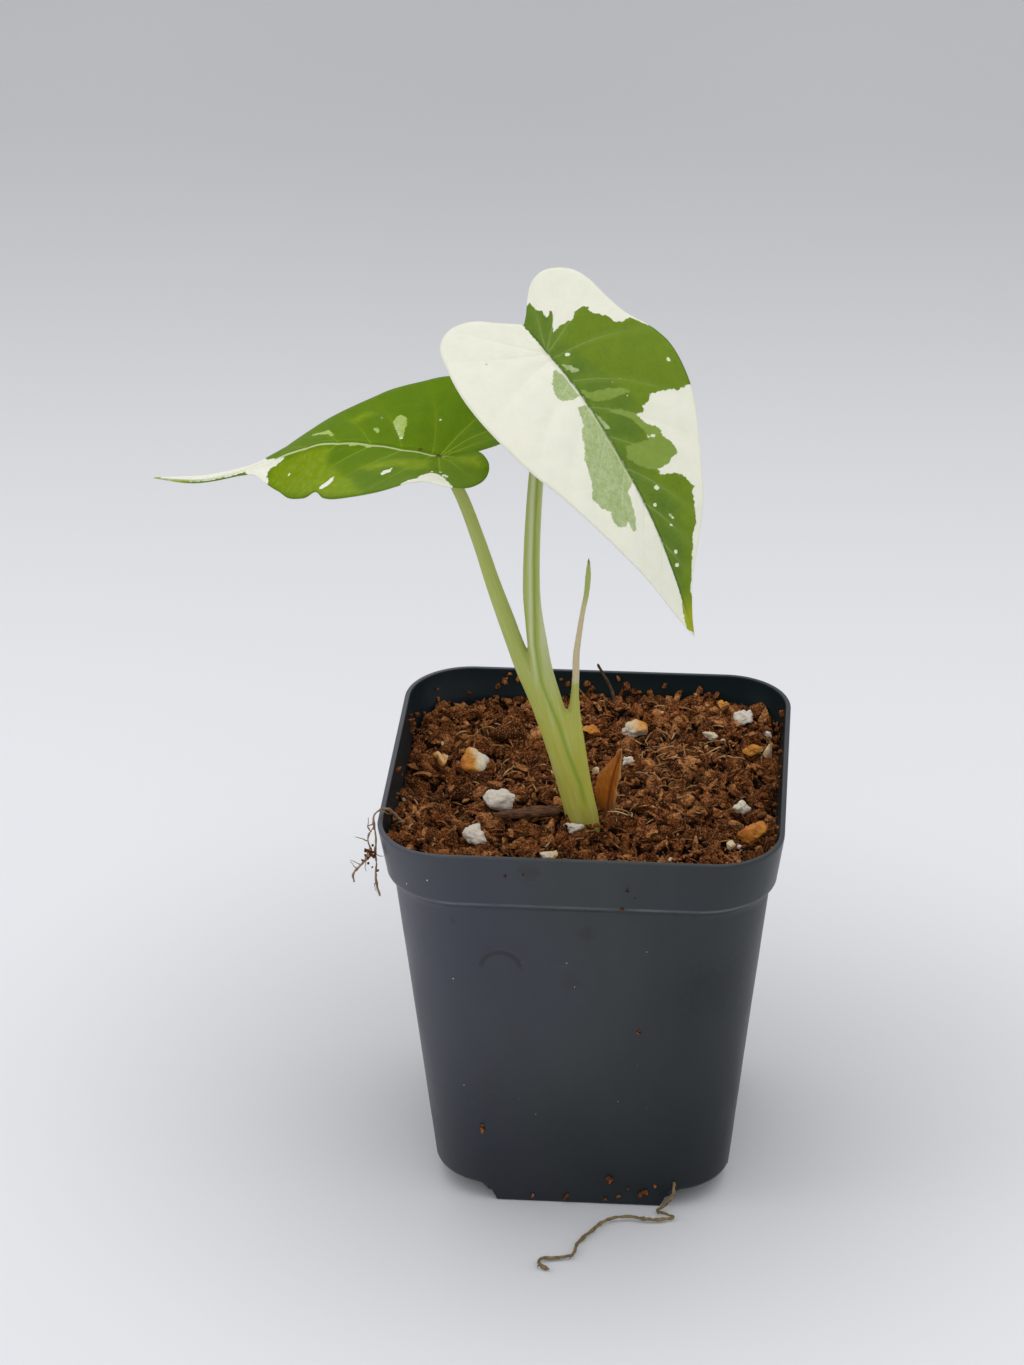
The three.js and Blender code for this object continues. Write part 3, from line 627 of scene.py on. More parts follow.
def corner_blocks(grow):
    """The spaces under the four raised corners, with rounded upper edges."""
    outer = 40
    heights = [(-2, -0.7), (0, 0), (CORNER_RISE - 1.1, 1.0), (CORNER_RISE - 0.6, 2.2), (CORNER_RISE, 6)]
    rings = []
    for z, slope in heights:
        x, y = FOOT_HALF + slope - grow, SIDE_FOOT_HALF + slope - grow
        level = z + (grow if z > 0 else 0)
        rings.append([(x, y, level), (outer, y, level), (outer, outer, level), (x, outer, level)])
    block = np.vstack(rings)
    faces = loft_faces(len(rings), 4)
    heap = Heap()
    for side_x, side_y in itertools.product((1, -1), repeat=2):
        turned_faces = faces if side_x == side_y else [face[::-1] for face in faces]
        heap.add(block * [side_x, side_y, 1], turned_faces)
    return heap.shape()


def drain_holes():
    """A round drill through the floor in each raised corner."""
    heap = Heap()
    angle = np.linspace(0, 2 * math.pi, DRAIN_SIDES, endpoint=False)
    circle = DRAIN_RADIUS * np.column_stack([np.cos(angle), np.sin(angle)])
    for side in itertools.product((1, -1), repeat=2):
        ring = circle + np.array(side) * DRAIN_PLACE
        rings = [np.column_stack([ring, np.full(DRAIN_SIDES, z)]) for z in (0, CORNER_RISE + 4)]
        heap.add(np.vstack(rings), loft_faces(2, DRAIN_SIDES))
    return heap.shape()


def plastic_look():
    """Satin black plastic that drifts to blue, with blotches, scuffs, dust and the wall's marks; painted
    shade low down, on the right, along the dent and inside the wall, and a painted highlight under the rim
    band.
    """
    look = Look("satin_plastic")
    pot = settings("pot")
    x, y, z = (look.position(axis) for axis in "XYZ")
    drift = look.plus(look.cloud(38, detail=1, seed=2), look.ease(x, -34, 22, 0.28, -0.28))
    body = look.mix(look.ease(drift, 0.35, 0.7), pot.plastic, pot.tint)
    blotch = look.cloud(9, detail=3, stretch=(1, 1, 0.45), seed=5)
    body = look.mix(look.ease(blotch, 0.35, 0.75, 0, 0.22), body, paint(60, 66, 70))
    scuff = look.cloud(5, detail=6, roughness=0.7, stretch=(0.5, 0.5, 2.2), seed=8)
    body = look.mix(look.ease(scuff, 0.62, 0.8, 0, 0.3), body, paint(78, 82, 86))
    dust = look.times(look.ease(look.cells(2.6), 0.05, 0.035), look.ease(look.cloud(12, seed=3), 0.5, 0.62))
    body = look.mix(look.times(dust, 0.45), body, paint(128, 124, 120))
    # Painted shade: the wall is darkened towards its bottom and on its right side
    body = look.mix(look.ease(z, 46, 2, 0, 0.62), body, paint(24, 28, 31))
    shade = look.times(look.ease(x, -2, 24, 0, 0.4), look.ease(z, 66, 40))
    body = look.mix(shade, body, paint(26, 30, 33))
    front = look.ease(y, -20, -24)
    smear = look.cloud(1.6, detail=4, roughness=0.65, seed=11)
    for mark_x, mark_z, radius, strength in WALL_MARKS:
        ragged = look.plus(look.distance(x, z, (mark_x, mark_z)), look.times(smear, 3.2 * radius))
        mark = look.times(look.ease(ragged, 3.0 * radius, 1.9 * radius, 0, strength), front)
        body = look.mix(mark, body, paint(14, 16, 18))
    # Painted shade: a dark arch along the edge of the dent
    dent_x, dent_z, radius = FRONT_DENT
    arch = look.gap(look.distance(x, z, (dent_x, dent_z)), radius)
    upper = look.times(look.ease(z, dent_z - 0.5, dent_z + 1.5), front)
    body = look.mix(look.times(look.ease(arch, 0.75, 0.15, 0, 0.85), upper), body, paint(16, 18, 20))
    # Painted highlight: a light line along the edge under the rim band, broken up by the scuff noise
    edge_gap = look.gap(z, BAND_EDGE)
    edge_highlight = look.times(look.ease(edge_gap, 0.4, 0.1, 0, 0.42), look.ease(scuff, 0.36, 0.6, 0.3, 1))
    body = look.mix(edge_highlight, body, paint(112, 120, 124))
    # Painted shade: the inside of the wall is darkened
    body = look.mix(look.times(look.value("inner"), 0.9), body, paint(14, 26, 28))
    fine = look.cloud(0.35, detail=3)
    roughness = look.ease(blotch, 0.3, 0.8, 1 - pot.gloss - 0.06, 1 - pot.gloss + 0.1)
    normal = look.bump(fine, 0.012, look.bump(look.cloud(3, seed=7), 0.05))
    sheen = look.times(look.ease(x, -34, -12, 0.75, 0.52), look.ease(x, -6, 26, 1, 0.6))
    sheen = look.times(sheen, look.ease(z, 2, 44, 0.6, 1))
    specular = look.times(sheen, look.ease(look.value("inner"), 0, 1, 1, 0.25))
    return look.finish(base=body, roughness=roughness, normal=normal, specular=specular)


def build_pot():
    """The pot: its outside, cut hollow, raised at the corners and drilled."""
    wall = settings("pot").wall / MM
    shapes = (pot_cavity(wall), corner_blocks(wall), corner_blocks(0), drain_holes())
    tools = [add_mesh("tool", *shape) for shape in shapes]
    cavity, floor_corners, corners, drains = tools
    cut = {"operation": "DIFFERENCE", "solver": "MANIFOLD"}
    space = add_mesh("space", *worked(cavity.data, [("BOOLEAN", {**cut, "object": floor_corners})]))
    shell = add_mesh("shell", *pot_outside())
    cuts = [("BOOLEAN", {**cut, "object": tool}) for tool in (space, corners, drains)]
    points, faces = worked(shell.data, cuts)
    for tool in [*tools, space, shell]:
        bpy.data.objects.remove(tool)
    half, corner = profile_at(points[:, 2])
    inward = -inside_rounded(points[:, 0], points[:, 1], half, corner)
    values = {"inner": smoothstep(inward, 0.5 * wall, 0.9 * wall)}
    add_piece("nursery_pot", points, faces, plastic_look(), "pot_plastic", ["pot"], values, sharp=38)


# The potting mix

# Low in the crumbs where it is nearly black: x, y and radius
SOIL_HOLES = [
    (10.7, -19.6, 3.2), (6.5, -17.8, 2.2), (-24.3, -23.3, 1.8), (-37, 30, 4), (-31, -1, 3),
    (16, 4, 2.5),
]

# Where the foot of the stem stands in the soil: x, y and radius
STEM_FOOT = (-0.4, -10.4, 3.4)
# Height at which the loose pieces are kept inside the pot's wall
LITTER_LEVEL = 77


class Bed:
    """The lumpy top of the potting mix, as heights and tones on a square grid."""

    spacing = 0.3
    reach = 36.9
    lumps = 6400
    lowest_hit = 73.2
    # The loose crumbs and chips lie on a bed that is this much lower than the packed soil
    room = 1.9

    def __init__(self):
        self.steps = np.arange(-self.reach, self.reach + self.spacing, self.spacing)
        x, y = np.meshgrid(self.steps, self.steps)
        spots = np.column_stack([x.ravel(), y.ravel(), np.zeros(x.size)])
        base = self.packed_height(x, y) - self.room
        for hole_x, hole_y, radius in SOIL_HOLES:
            base -= 1.8 * np.exp(-((x - hole_x) ** 2 + (y - hole_y) ** 2) / radius**2)
        warp = relief(spots, 0.8, 31, 2).reshape(x.shape)
        self.heights = base + 0.3 * relief(spots, 0.7, 47, 2).reshape(x.shape)
        self.tones = np.full(x.shape, 0.05)
        random = np.random.default_rng(14)
        for _ in range(self.lumps):
            self.add_crumb(x, y, base, warp, random)
        self.base = base

    def packed_height(self, x, y):
        """The packed soil's top, with the seats of stones and stem filled over."""
        tree = BVHTree.FromObject(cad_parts["soil"], bpy.context.evaluated_depsgraph_get())
        heights = np.full(x.shape, np.nan)
        for row, column in np.ndindex(x.shape):
            if (row + column) % 2:
                continue
            above = Vector((x[row, column] * MM, y[row, column] * MM, 0.1))
            hit = tree.ray_cast(above, Vector((0, 0, -1)))[0]
            if hit is not None and hit.z > self.lowest_hit * MM:
                heights[row, column] = hit.z / MM
        while np.isnan(heights).any():
            near = np.stack([np.roll(heights, shift, axis) for axis in (0, 1) for shift in (1, -1)])
            known = ~np.isnan(near)
            mean = np.where(known, near, 0).sum(0) / np.maximum(known.sum(0), 1)
            heights = np.where(np.isnan(heights) & known.any(0), mean, heights)
        return heights

    def add_crumb(self, x, y, base, warp, random):
        """Raises one ragged lump out of the bed."""
        radius = 0.4 + 1.5 * random.random() ** 2.2
        centre = random.uniform(-self.reach, self.reach, 2)
        turn, narrow = random.uniform(0, math.pi), random.uniform(0.25, 0.85)
        lift = random.normal(0.1, 0.5)
        tone = np.clip(random.normal(0.45, 0.27) + 0.16 * relief([[*centre, 0]], 8, 71)[0], 0, 1)
        first = np.maximum(((centre - radius * 1.4 + self.reach) / self.spacing).astype(int), 0)
        last = ((centre + radius * 1.4 + self.reach) / self.spacing).astype(int) + 2
        window = (slice(first[1], last[1]), slice(first[0], last[0]))
        part_x, part_y = x[window] - centre[0], y[window] - centre[1]
        if part_x.size == 0:
            return
        along = part_x * math.cos(turn) + part_y * math.sin(turn)
        across = (part_y * math.cos(turn) - part_x * math.sin(turn)) / narrow
        reach = (np.hypot(along, across) / radius + 0.5 * warp[window]) ** 2
        tilt = random.normal(0, 0.5, 2)
        dome = lift + 0.7 * radius * narrow * np.maximum(1 - reach**2, 0) ** 0.3 + 0.25 * warp[window]
        dome += tilt[0] * part_x + tilt[1] * part_y
        top = base[window] + dome
        higher = (reach < 1) & (top > self.heights[window])
        self.heights[window] = np.where(higher, top, self.heights[window])
        self.tones[window] = np.where(higher, tone, self.tones[window])

    def sample(self, grid, x, y):
        """A grid's value at places between its points."""
        column, row = (np.clip((np.asarray(part, float) + self.reach) / self.spacing, 0,
                               len(self.steps) - 1.001) for part in (x, y))
        i, j = column.astype(int), row.astype(int)
        u, v = column - i, row - j
        return ((1 - u) * (1 - v) * grid[j, i] + u * (1 - v) * grid[j, i + 1]
                + (1 - u) * v * grid[j + 1, i] + u * v * grid[j + 1, i + 1])

    def ground(self, x, y):
        """Height that loose pieces rest on at one place."""
        return float(self.sample(self.base, x, y)) + 0.9


def inside_rounded(x, y, half, corner):
    """Distance outside a rounded square, below zero inside it."""
    over_x, over_y = np.abs(x) - (half - corner), np.abs(y) - (half - corner)
    beyond = np.hypot(np.maximum(over_x, 0), np.maximum(over_y, 0))
    return beyond + np.minimum(np.maximum(over_x, over_y), 0) - corner


def soil_bed(bed):
    """The bed of packed crumbs as one closed body, fine on top and plain where the wall hides it."""
    half, corner = profile_at(76)
    half, corner = half - 1.25, corner - 1.25
    x, y = (part.ravel() for part in np.meshgrid(bed.steps, bed.steps))
    row = len(bed.steps)
    cell = np.arange(len(x)).reshape(row, row)
    corners = np.stack([cell[:-1, :-1], cell[:-1, 1:], cell[1:, 1:], cell[1:, :-1]], -1).reshape(-1, 4)
    middle = np.stack([x[corners].mean(1), y[corners].mean(1)], 1)
    corners = corners[inside_rounded(middle[:, 0], middle[:, 1], half, corner) < 0]
    for _ in range(6):
        out = inside_rounded(x, y, half, corner)
        push = np.where(out > 0, out, 0)
        centre_x = np.clip(x, -(half - corner), half - corner)
        centre_y = np.clip(y, -(half - corner), half - corner)
        away = unit(np.column_stack([x - centre_x, y - centre_y]))
        x, y = x - away[:, 0] * push, y - away[:, 1] * push
    used = np.unique(corners)
    renumber = np.full(len(x), -1)
    renumber[used] = np.arange(len(used))
    points = np.column_stack([x[used], y[used], bed.sample(bed.heights, x[used], y[used])])
    build = bmesh.new()
    verts = [build.verts.new(point) for point in points]
    for face in renumber[corners]:
        build.faces.new([verts[i] for i in face])
    edges = [edge for edge in build.edges if edge.is_boundary]
    reach = half
    for z in (71.6, 60, 30, FLOOR_THICKNESS + 5):
        narrower = profile_at(min(z, 67))[0] - 1.6
        made = bmesh.ops.extrude_edge_only(build, edges=edges)["geom"]
        edges = [item for item in made if isinstance(item, bmesh.types.BMEdge)]
        for vert in {vert for edge in edges for vert in edge.verts}:
            vert.co.x *= narrower / reach
            vert.co.y *= narrower / reach
            vert.co.z = z
        edges = [edge for edge in edges if edge.is_boundary]
        reach = narrower
    bmesh.ops.holes_fill(build, edges=edges)
    bmesh.ops.recalc_face_normals(build, faces=build.faces)
    points, faces = edit_mesh_shape(build)
    tone, depth = np.zeros(len(points)), np.full(len(points), -1.0)
    tone[:len(used)] = bed.sample(bed.tones, x[used], y[used])
    depth[:len(used)] = points[:len(used), 2] - bed.sample(bed.base, x[used], y[used]) - 0.7
    return points, faces, {"tone": tone, "depth": depth}


def chip_shapes(number, corners, cuts, ruggedness, seed):
    """Angular chips of unit size: hulls of random points, with their faces broken up."""
    random = np.random.default_rng(seed)
    shapes = []
    for index in range(number):
        build = bmesh.new()
        for spot in unit(random.normal(size=(corners, 3))) * random.uniform(0.8, 1, (corners, 1)):
            build.verts.new(spot)
        bmesh.ops.convex_hull(build, input=build.verts)
        bmesh.ops.delete(build, geom=[v for v in build.verts if not v.link_faces], context="VERTS")
        bmesh.ops.subdivide_edges(build, edges=build.edges, cuts=cuts, use_grid_fill=True)
        bmesh.ops.triangulate(build, faces=build.faces)
        points, faces = edit_mesh_shape(build)
        points *= (1 + ruggedness * relief(points, 0.6, seed + index, 2))[:, None]
        shapes.append((points, faces))
    return shapes


def turned(tilt, heading, spin):
    """Turns a chip about its own long axis, tips it up and points it along a heading."""
    tipped = Matrix.Rotation(tilt, 3, "Y") @ Matrix.Rotation(spin, 3, "X")
    return np.array(Matrix.Rotation(heading, 3, "Z") @ tipped)


def inside_stem(x, y):
    """True where the foot of the stem stands in the soil."""
    foot_x, foot_y, radius = STEM_FOOT
    return math.hypot(x - foot_x, y - foot_y) < radius


# Chips that stand out: x, y, length, width, height, heading in degrees and tone from dark to light
LANDMARK_CHIPS = [
    (-17.6, 19.8, 9.5, 6.5, 3.4, 25, 0.12), (-27.3, 33, 4.2, 3.2, 3, 10, 0.82),
    (-23.6, 30.8, 3.6, 3, 2.6, 80, 0.74), (-31, 31.8, 3.8, 2.8, 2.4, 40, 0.7),
    (-32, 24.2, 3.4, 2.6, 2.2, 10, 0.62), (-23.5, -2, 7, 4.6, 4.2, 30, 0.04),
    (-21.2, 3.2, 5, 3.4, 3.4, -20, 0.08), (-24, -13.4, 5.6, 2.6, 1.6, -8, 0.84),
    (-27.6, -11.4, 4.4, 2.2, 1.4, 48, 0.7), (-25.6, -25.8, 4.6, 2.2, 1.8, 10, 0.8),
    (-30.5, -20, 4, 2.8, 2, 30, 0.6), (19.2, -1.4, 4.4, 3.4, 2.4, 30, 0.9),
    (22.4, -3.2, 3.4, 2.6, 2, 60, 0.84), (31, 32.4, 4.6, 3.4, 3, 20, 0.6),
    (24.4, 32.6, 3.6, 2.8, 2.2, 70, 0.76), (-9.6, -21.4, 5, 3.2, 2.2, 25, 0.5),
    (-16, -25.6, 3.8, 2.4, 1.8, 10, 0.66), (12, 26, 4.6, 3, 2.2, -20, 0.64),
    (4, -24.6, 4.2, 2.6, 2, 15, 0.72), (27.4, -21.6, 3.6, 2.6, 2, 40, 0.7),
    (-12.6, 14.4, 4, 2.6, 2, 75, 0.44),
]


def scatter_chips(bed, shapes, number, sizes, seed, landmarks=(), lift=(0.05, 0.5)):
    """Chips strewn over the soil, most of them lying flat, none inside the wall or the stem."""
    random = np.random.default_rng(seed)
    half, corner = profile_at(LITTER_LEVEL)
    heap = Heap()
    rows = [(x, y, long / 2, wide / 2, high / 2, math.radians(heading), tone, 0.25)
            for x, y, long, wide, high, heading, tone in landmarks]
    clear_of = [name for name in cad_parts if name.startswith(("stone_", "bark_chip"))]
    boxes = [np.array(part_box(name)) / MM for name in clear_of]
    while len(rows) < number + len(landmarks):
        x, y = random.uniform(-half, half, 2)
        radius = (sizes[0] + (sizes[1] - sizes[0]) * random.random() ** 2.4) / 2
        heading, tone = random.uniform(0, 2 * math.pi), np.clip(random.normal(0.46, 0.33), 0, 1)
        long = radius * random.uniform(1, 1.5)
        wide, high = radius * random.uniform(0.55, 0.95), radius * random.uniform(0.45, 0.85)
        if random.random() < 0.6:
            long, wide, high = 1.45 * long, 0.6 * wide, 0.32 * high
        rise = random.uniform(*lift)
        if inside_rounded(x, y, half - 1.1, corner - 1.1) > -0.7 * radius or inside_stem(x, y):
            continue
        if any(near[0] - radius < x < far[0] + radius and near[1] - 1.5 * radius < y < far[1]
               for near, far in boxes):
            continue
        rows.append((x, y, long, wide, high, heading, tone, rise))
    for x, y, long, wide, high, heading, tone, rise in rows:
        points, faces = shapes[random.integers(len(shapes))]
        turn = turned(random.normal(0, 0.5), heading, random.normal(0, 0.8))
        placed = (points * [long, wide, high]) @ turn.T
        # The depth value darkens the underside of each chip with painted shade
        heap.add(placed + [x, y, bed.ground(x, y) + rise * high * 2], faces, tone=tone,
                 depth=0.4 + placed[:, 2] / max(high, 0.1))
    return heap


def mix_look(name, grain):
    """Coir and peat: brown, rough and fibrous, with painted shade that goes nearly black low between and
    under the crumbs.
    """
    look = Look(name)
    soil = settings("soil")
    dark, brown, light = soil.dark, soil.brown, soil.light
    body = look.ramp(look.value("tone"), (0.0, tuple(0.5 * (a + 0.25 * b) for a, b in zip(dark, brown))),
                     (0.28, tuple(0.55 * part for part in brown)), (0.55, brown),
                     (0.8, tuple(0.5 * (a + b) for a, b in zip(brown, light))), (1.0, light))
    streak = look.cloud(grain, detail=4, roughness=0.7, stretch=(1, 1, 2.5), seed=1)
    body = look.mix(look.ease(streak, 0.32, 0.6, 0.9, 0), body, dark)
    fleck = look.cloud(0.3, detail=3, roughness=0.65, seed=6)
    body = look.mix(look.ease(fleck, 0.53, 0.64, 0, 0.7), body, light)
    body = look.mix(look.ease(fleck, 0.47, 0.37, 0, 0.8), body, dark)
    # Painted shade: low places, the hidden sides of the bed and the undersides of chips go nearly black
    low = look.ease(look.value("depth"), -0.55, 0.4, 0.98, 0)
    body = look.mix(low, body, tuple(0.3 * part for part in dark))
    normal = look.bump(streak, 0.6, look.bump(look.cloud(0.32, detail=4, roughness=0.7, seed=3), 0.28))
    return look.finish(base=body, roughness=0.9, normal=normal, specular=0.12)


# Where fibres lie closer together: x, y and spread
FIBRE_TUFTS = [(9.9, -4.3, 5.5), (14, 8, 6), (11, 18, 5), (-10, 4.5, 4), (3.5, -2.5, 3), (20, 18, 5)]


def strands(bed, number, seed, widths, flat=1.0, tufted=0.4):
    """Short loose fibres or flat shreds, bent and lying at all angles on the crumbs."""
    random = np.random.default_rng(seed)
    half, corner = profile_at(LITTER_LEVEL)
    heap = Heap()
    made = 0
    while made < number:
        if random.random() < tufted:
            tuft_x, tuft_y, spread = FIBRE_TUFTS[random.integers(len(FIBRE_TUFTS))]
            x, y = random.normal((tuft_x, tuft_y), spread * 0.6)
        else:
            x, y = random.uniform(-half, half, 2)
        heading, run = random.uniform(0, 2 * math.pi), random.uniform(1.0, 4.2)
        bend, thin = random.normal(0, 0.35, 2), random.uniform(*widths)
        climb, tone = random.uniform(-0.2, 0.9), random.random()
        if inside_rounded(x, y, half - 2, corner - 2) > -run / 2 or inside_stem(x, y):
            continue
        parts = np.linspace(-0.5, 0.5, 6)
        onward, sideways = run * parts, bend[0] * run * parts**2
        curve_x = x + onward * math.cos(heading) - sideways * math.sin(heading)
        curve_y = y + onward * math.sin(heading) + sideways * math.cos(heading)
        curve_z = bed.ground(x, y) + 0.75 + climb * (parts + 0.5) * run * 0.4 - 1.6 * parts**2
        roll = random.uniform(0, math.pi)
        stops = np.column_stack([curve_x, curve_y, curve_z, thin * (1 - 1.2 * parts**2)])
        heap.add(*tube(stops, 8, 4, flat, roll), tone=tone, depth=1.0)
        made += 1
    return heap


def fibre_look():
    """Loose fibres, from the mix's own brown to pale straw."""
    look = Look("coir_fibre")
    soil = settings("soil")
    body = look.ramp(look.value("tone"), (0.0, soil.brown), (0.4, paint(154, 104, 60)),
                     (0.75, paint(184, 140, 90)), (1.0, soil.fibre))
    body = look.mix(look.ease(look.cloud(0.8, detail=3), 0.4, 0.7, 0, 0.4), body, soil.dark)
    return look.finish(base=body, roughness=0.75, specular=0.3)


# Crumbs that stick to the walls: x, y, z and size
WALL_CRUMBS = [
    (-17.9, 36.0, 80.6, 1.0), (-18.9, 35.9, 79.2, 1.7), (-20.5, 35.8, 78.0, 1.5),
    (-16.2, 35.9, 79.6, 1.3), (-12, 35.4, 77.2, 1.6), (-7.7, 35.9, 80, 1.1), (-6.5, 35.9, 79, 1.3),
    (-2.7, 35.9, 79.2, 1.5), (-1.8, 35.8, 78.1, 1.4), (-2.5, 35.6, 76.9, 1.5), (3.4, 35.9, 80.5, 1.1),
    (5.3, 35.9, 79, 1.8), (6.5, 35.7, 77.9, 1.6), (9.7, 35.8, 78.1, 1.6), (12.6, 35.9, 79.1, 1.3),
    (15.6, 35.7, 77.8, 1.8), (19.5, 35.8, 78.4, 1.5), (22.5, 35.6, 77.6, 1.9), (-25.9, 35.4, 76.7, 1.3),
    (5.9, -28.9, 6.4, 1.5), (11.8, -28.5, 3, 1.4), (12.9, -28.6, 3.8, 1.1), (14.7, -28.7, 5.1, 0.9),
    (7.8, -28.4, 2.3, 0.8), (5.4, -28.4, 1.5, 0.9), (-2.2, -28.4, 2.2, 1.0), (-2.5, -28.4, 1.2, 0.8),
    (-8.7, -28.3, 1.6, 0.8), (-18.2, -29.9, 17.3, 1.1), (-18.3, -30, 18.4, 0.7),
    (11.5, -32.5, 42.2, 0.9), (-9.6, -37.3, 78, 0.6), (-13, -37.2, 77.6, 0.6), (8.4, -36.5, 70.9, 0.8),
    (9.6, -28.6, 4.4, 0.6),
]
INNER_CORNER = 13


def wall_crumbs(shapes):
    """Crumbs at the places above, and more spread along both sides inside the rim."""
    random = np.random.default_rng(77)
    heap = Heap()
    spread = []
    for side in (-1, 1):
        for _ in range(26):
            y, z = random.uniform(-30, 34), random.uniform(75.5, 80)
            flat = profile_at(z)[0] - settings("pot").wall / MM - INNER_CORNER
            slant = max(0, abs(y) - flat)
            x = flat + math.sqrt(max(0, INNER_CORNER**2 - slant**2)) - 0.25
            spread.append((side * x, y, z, random.uniform(0.5, 1.4)))
    for x, y, z, size in WALL_CRUMBS + spread:
        points, faces = shapes[random.integers(len(shapes))]
        placed = (points * [size * 0.72, size * 0.5, size * 0.5]) @ turned(*random.uniform(0, 6, 3)).T
        heap.add(placed + [x, y, z], faces, tone=random.uniform(0.2, 0.75), depth=1)
    return heap


# Single mineral specks between the crumbs: x, y, size and kind
LOOSE_GRAINS = [
    (-34.6, -6.5, 1.3, 0), (-26.2, -4.8, 0.9, 0), (33.2, 21.9, 2.1, 0), (34.0, -13.6, 1.1, 0),
    (33.6, 15.6, 3.6, 1), (-15.7, 25.7, 1.3, 0), (0.9, 6.7, 2.2, 1), (21.5, 19.0, 1.4, 1),
    (24.6, 20.2, 1.6, 1), (-20.0, -0.6, 1.0, 1), (16.5, -22.8, 1.2, 1), (27.5, -18.8, 2.4, 1),
    (29.2, -19.8, 1.5, 0), (2.0, -4.6, 1.2, 1), (-7.4, 5.8, 1.8, 1), (-6.0, 4.9, 1.3, 1),
    (12.5, 27.5, 1.0, 0), (-29.5, 16.5, 1.1, 1),
]


def front_wall(x, z):
    """The outside of the front wall: y at a place on it."""
    half, corner = profile_at(z)
    over = np.maximum(np.abs(x) - (half - corner), 0)
    return -(half - corner) - np.sqrt(corner**2 - over**2)


def loose_grains(bed, shapes):
    """Mineral specks between the crumbs and on the front wall."""
    random = np.random.default_rng(5)
    heap = Heap()
    for x, y, size, kind in LOOSE_GRAINS:
        points, faces = shapes[random.integers(len(shapes))]
        placed = (points * [size * 0.5, size * 0.42, size * 0.38]) @ turned(*random.uniform(0, 6, 3)).T
        heap.add(placed + [x, y, bed.ground(x, y) + 0.3 + 0.3 * size], faces, stain=0.15 + 0.5 * kind)
    for x, z, size in WALL_SPECKS:
        points, faces = shapes[random.integers(len(shapes))]
        placed = (points * size * 0.5) @ turned(*random.uniform(0, 6, 3)).T
        heap.add(placed * [0.7, 0.5, 1] + [x, front_wall(x, z) - 0.04, z], faces, stain=0.2)
    return heap


def build_soil():
    """The bed, the chips, crumbs, fibres and shreds on it, and the loose grains."""
    soil = settings("soil")
    bed = Bed()
    look = mix_look("coir_mix", 0.9)
    points, faces, values = soil_bed(bed)
    add_piece("soil_bed", points, faces, look, "potting_mix", ["soil"], values)
    large = chip_shapes(24, 14, 2, 0.3, 100)
    small = chip_shapes(36, 11, 1, 0.3, 300)
    sizes = (1.8, soil.chip_size / MM)
    chips = scatter_chips(bed, large, soil.chips, sizes, 1, LANDMARK_CHIPS, (-0.15, 0.4))
    chips.piece("soil_chips", look, "potting_mix", sharp=70)
    crumbs = scatter_chips(bed, small, soil.crumbs, (0.7, 2.4), 2, (), (0.2, 1.1))
    crumbs.piece("soil_crumbs", look, "potting_mix", sharp=70)
    strands(bed, soil.fibres, 3, (0.07, 0.18)).piece("soil_fibres", fibre_look(), "potting_mix")
    strands(bed, soil.shreds, 9, (0.22, 0.6), 0.22, 0.1).piece("soil_shreds", look, "potting_mix", sharp=50)
    wall_crumbs(small).piece("wall_crumbs", look, "potting_mix", sharp=70)
    grains = loose_grains(bed, chip_shapes(8, 14, 2, 0.14, 500))
    grains.piece("loose_grains", grain_look("cream"), "cream_stone", sharp=60)


# Mineral grains

# Kind, shape number, how stained it is, and how that grows to the right and upwards
GRAINS = {
    "stone_white_large": ("white", 3, 0.12, 0.0, 0.0),
    "stone_white_front": ("white", 8, 0.2, 0.0, -0.1),
    "stone_cream_slanted": ("cream", 5, 0.95, -0.75, -0.35),
    "stone_yellow_left": ("amber", 11, 0.95, -0.2, -0.4),
    "stone_cream_back": ("cream", 7, 0.45, 0.45, 0.5), "stone_amber_back": ("amber", 2, 1.25, 0.2, 0.1),
    "stone_white_back": ("white", 9, 0.12, 0.0, 0.0), "stone_cream_low": ("cream", 12, 0.4, 0.1, 0.2),
    "stone_amber_right": ("amber", 15, 1.0, -0.3, 0.3),
    "stone_white_right": ("white", 4, 0.2, 0.1, 0.2),
    "stone_orange_lump": ("amber", 17, 1.3, -0.3, 0.35),
    "stone_cream_rim": ("cream", 19, 0.5, 0.3, 0.0), "stone_white_foot": ("white", 6, 0.15, 0.0, 0.0),
    "stone_white_middle": ("white", 14, 0.25, 0.2, 0.0),
    "stone_amber_far": ("amber", 10, 1.05, 0.1, 0.1),
}
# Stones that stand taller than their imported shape, in millimetres
STONE_LIFT = {"stone_cream_slanted": 1.4, "stone_white_large": 0.8, "stone_white_front": 0.7}
STONE_FACETS = 12
STONE_SHARPNESS = 8
GRAIN_ROUGHNESS = {"white": 0.9, "cream": 0.5, "amber": 0.55}


def broken_stone(seed):
    """A grain of unit size with blunt facets, from a ball cut by flat planes."""
    random = np.random.default_rng(seed)
    build = bmesh.new()
    bmesh.ops.create_icosphere(build, subdivisions=4, radius=1)
    points, faces = edit_mesh_shape(build)
    directions = unit(points)
    normals = unit(random.normal(size=(STONE_FACETS, 3)))
    heights = random.uniform(0.66, 1.0, STONE_FACETS)
    facing = np.maximum(directions @ normals.T, 0) / heights
    radius = np.maximum((facing**STONE_SHARPNESS).sum(1), 1e-6) ** (-1 / STONE_SHARPNESS)
    points = directions * np.minimum(radius, 1.5)[:, None]
    bite = np.maximum(relief(points, 0.9, seed + 5, 2), 0)
    return points - directions * (0.42 * bite)[:, None], faces


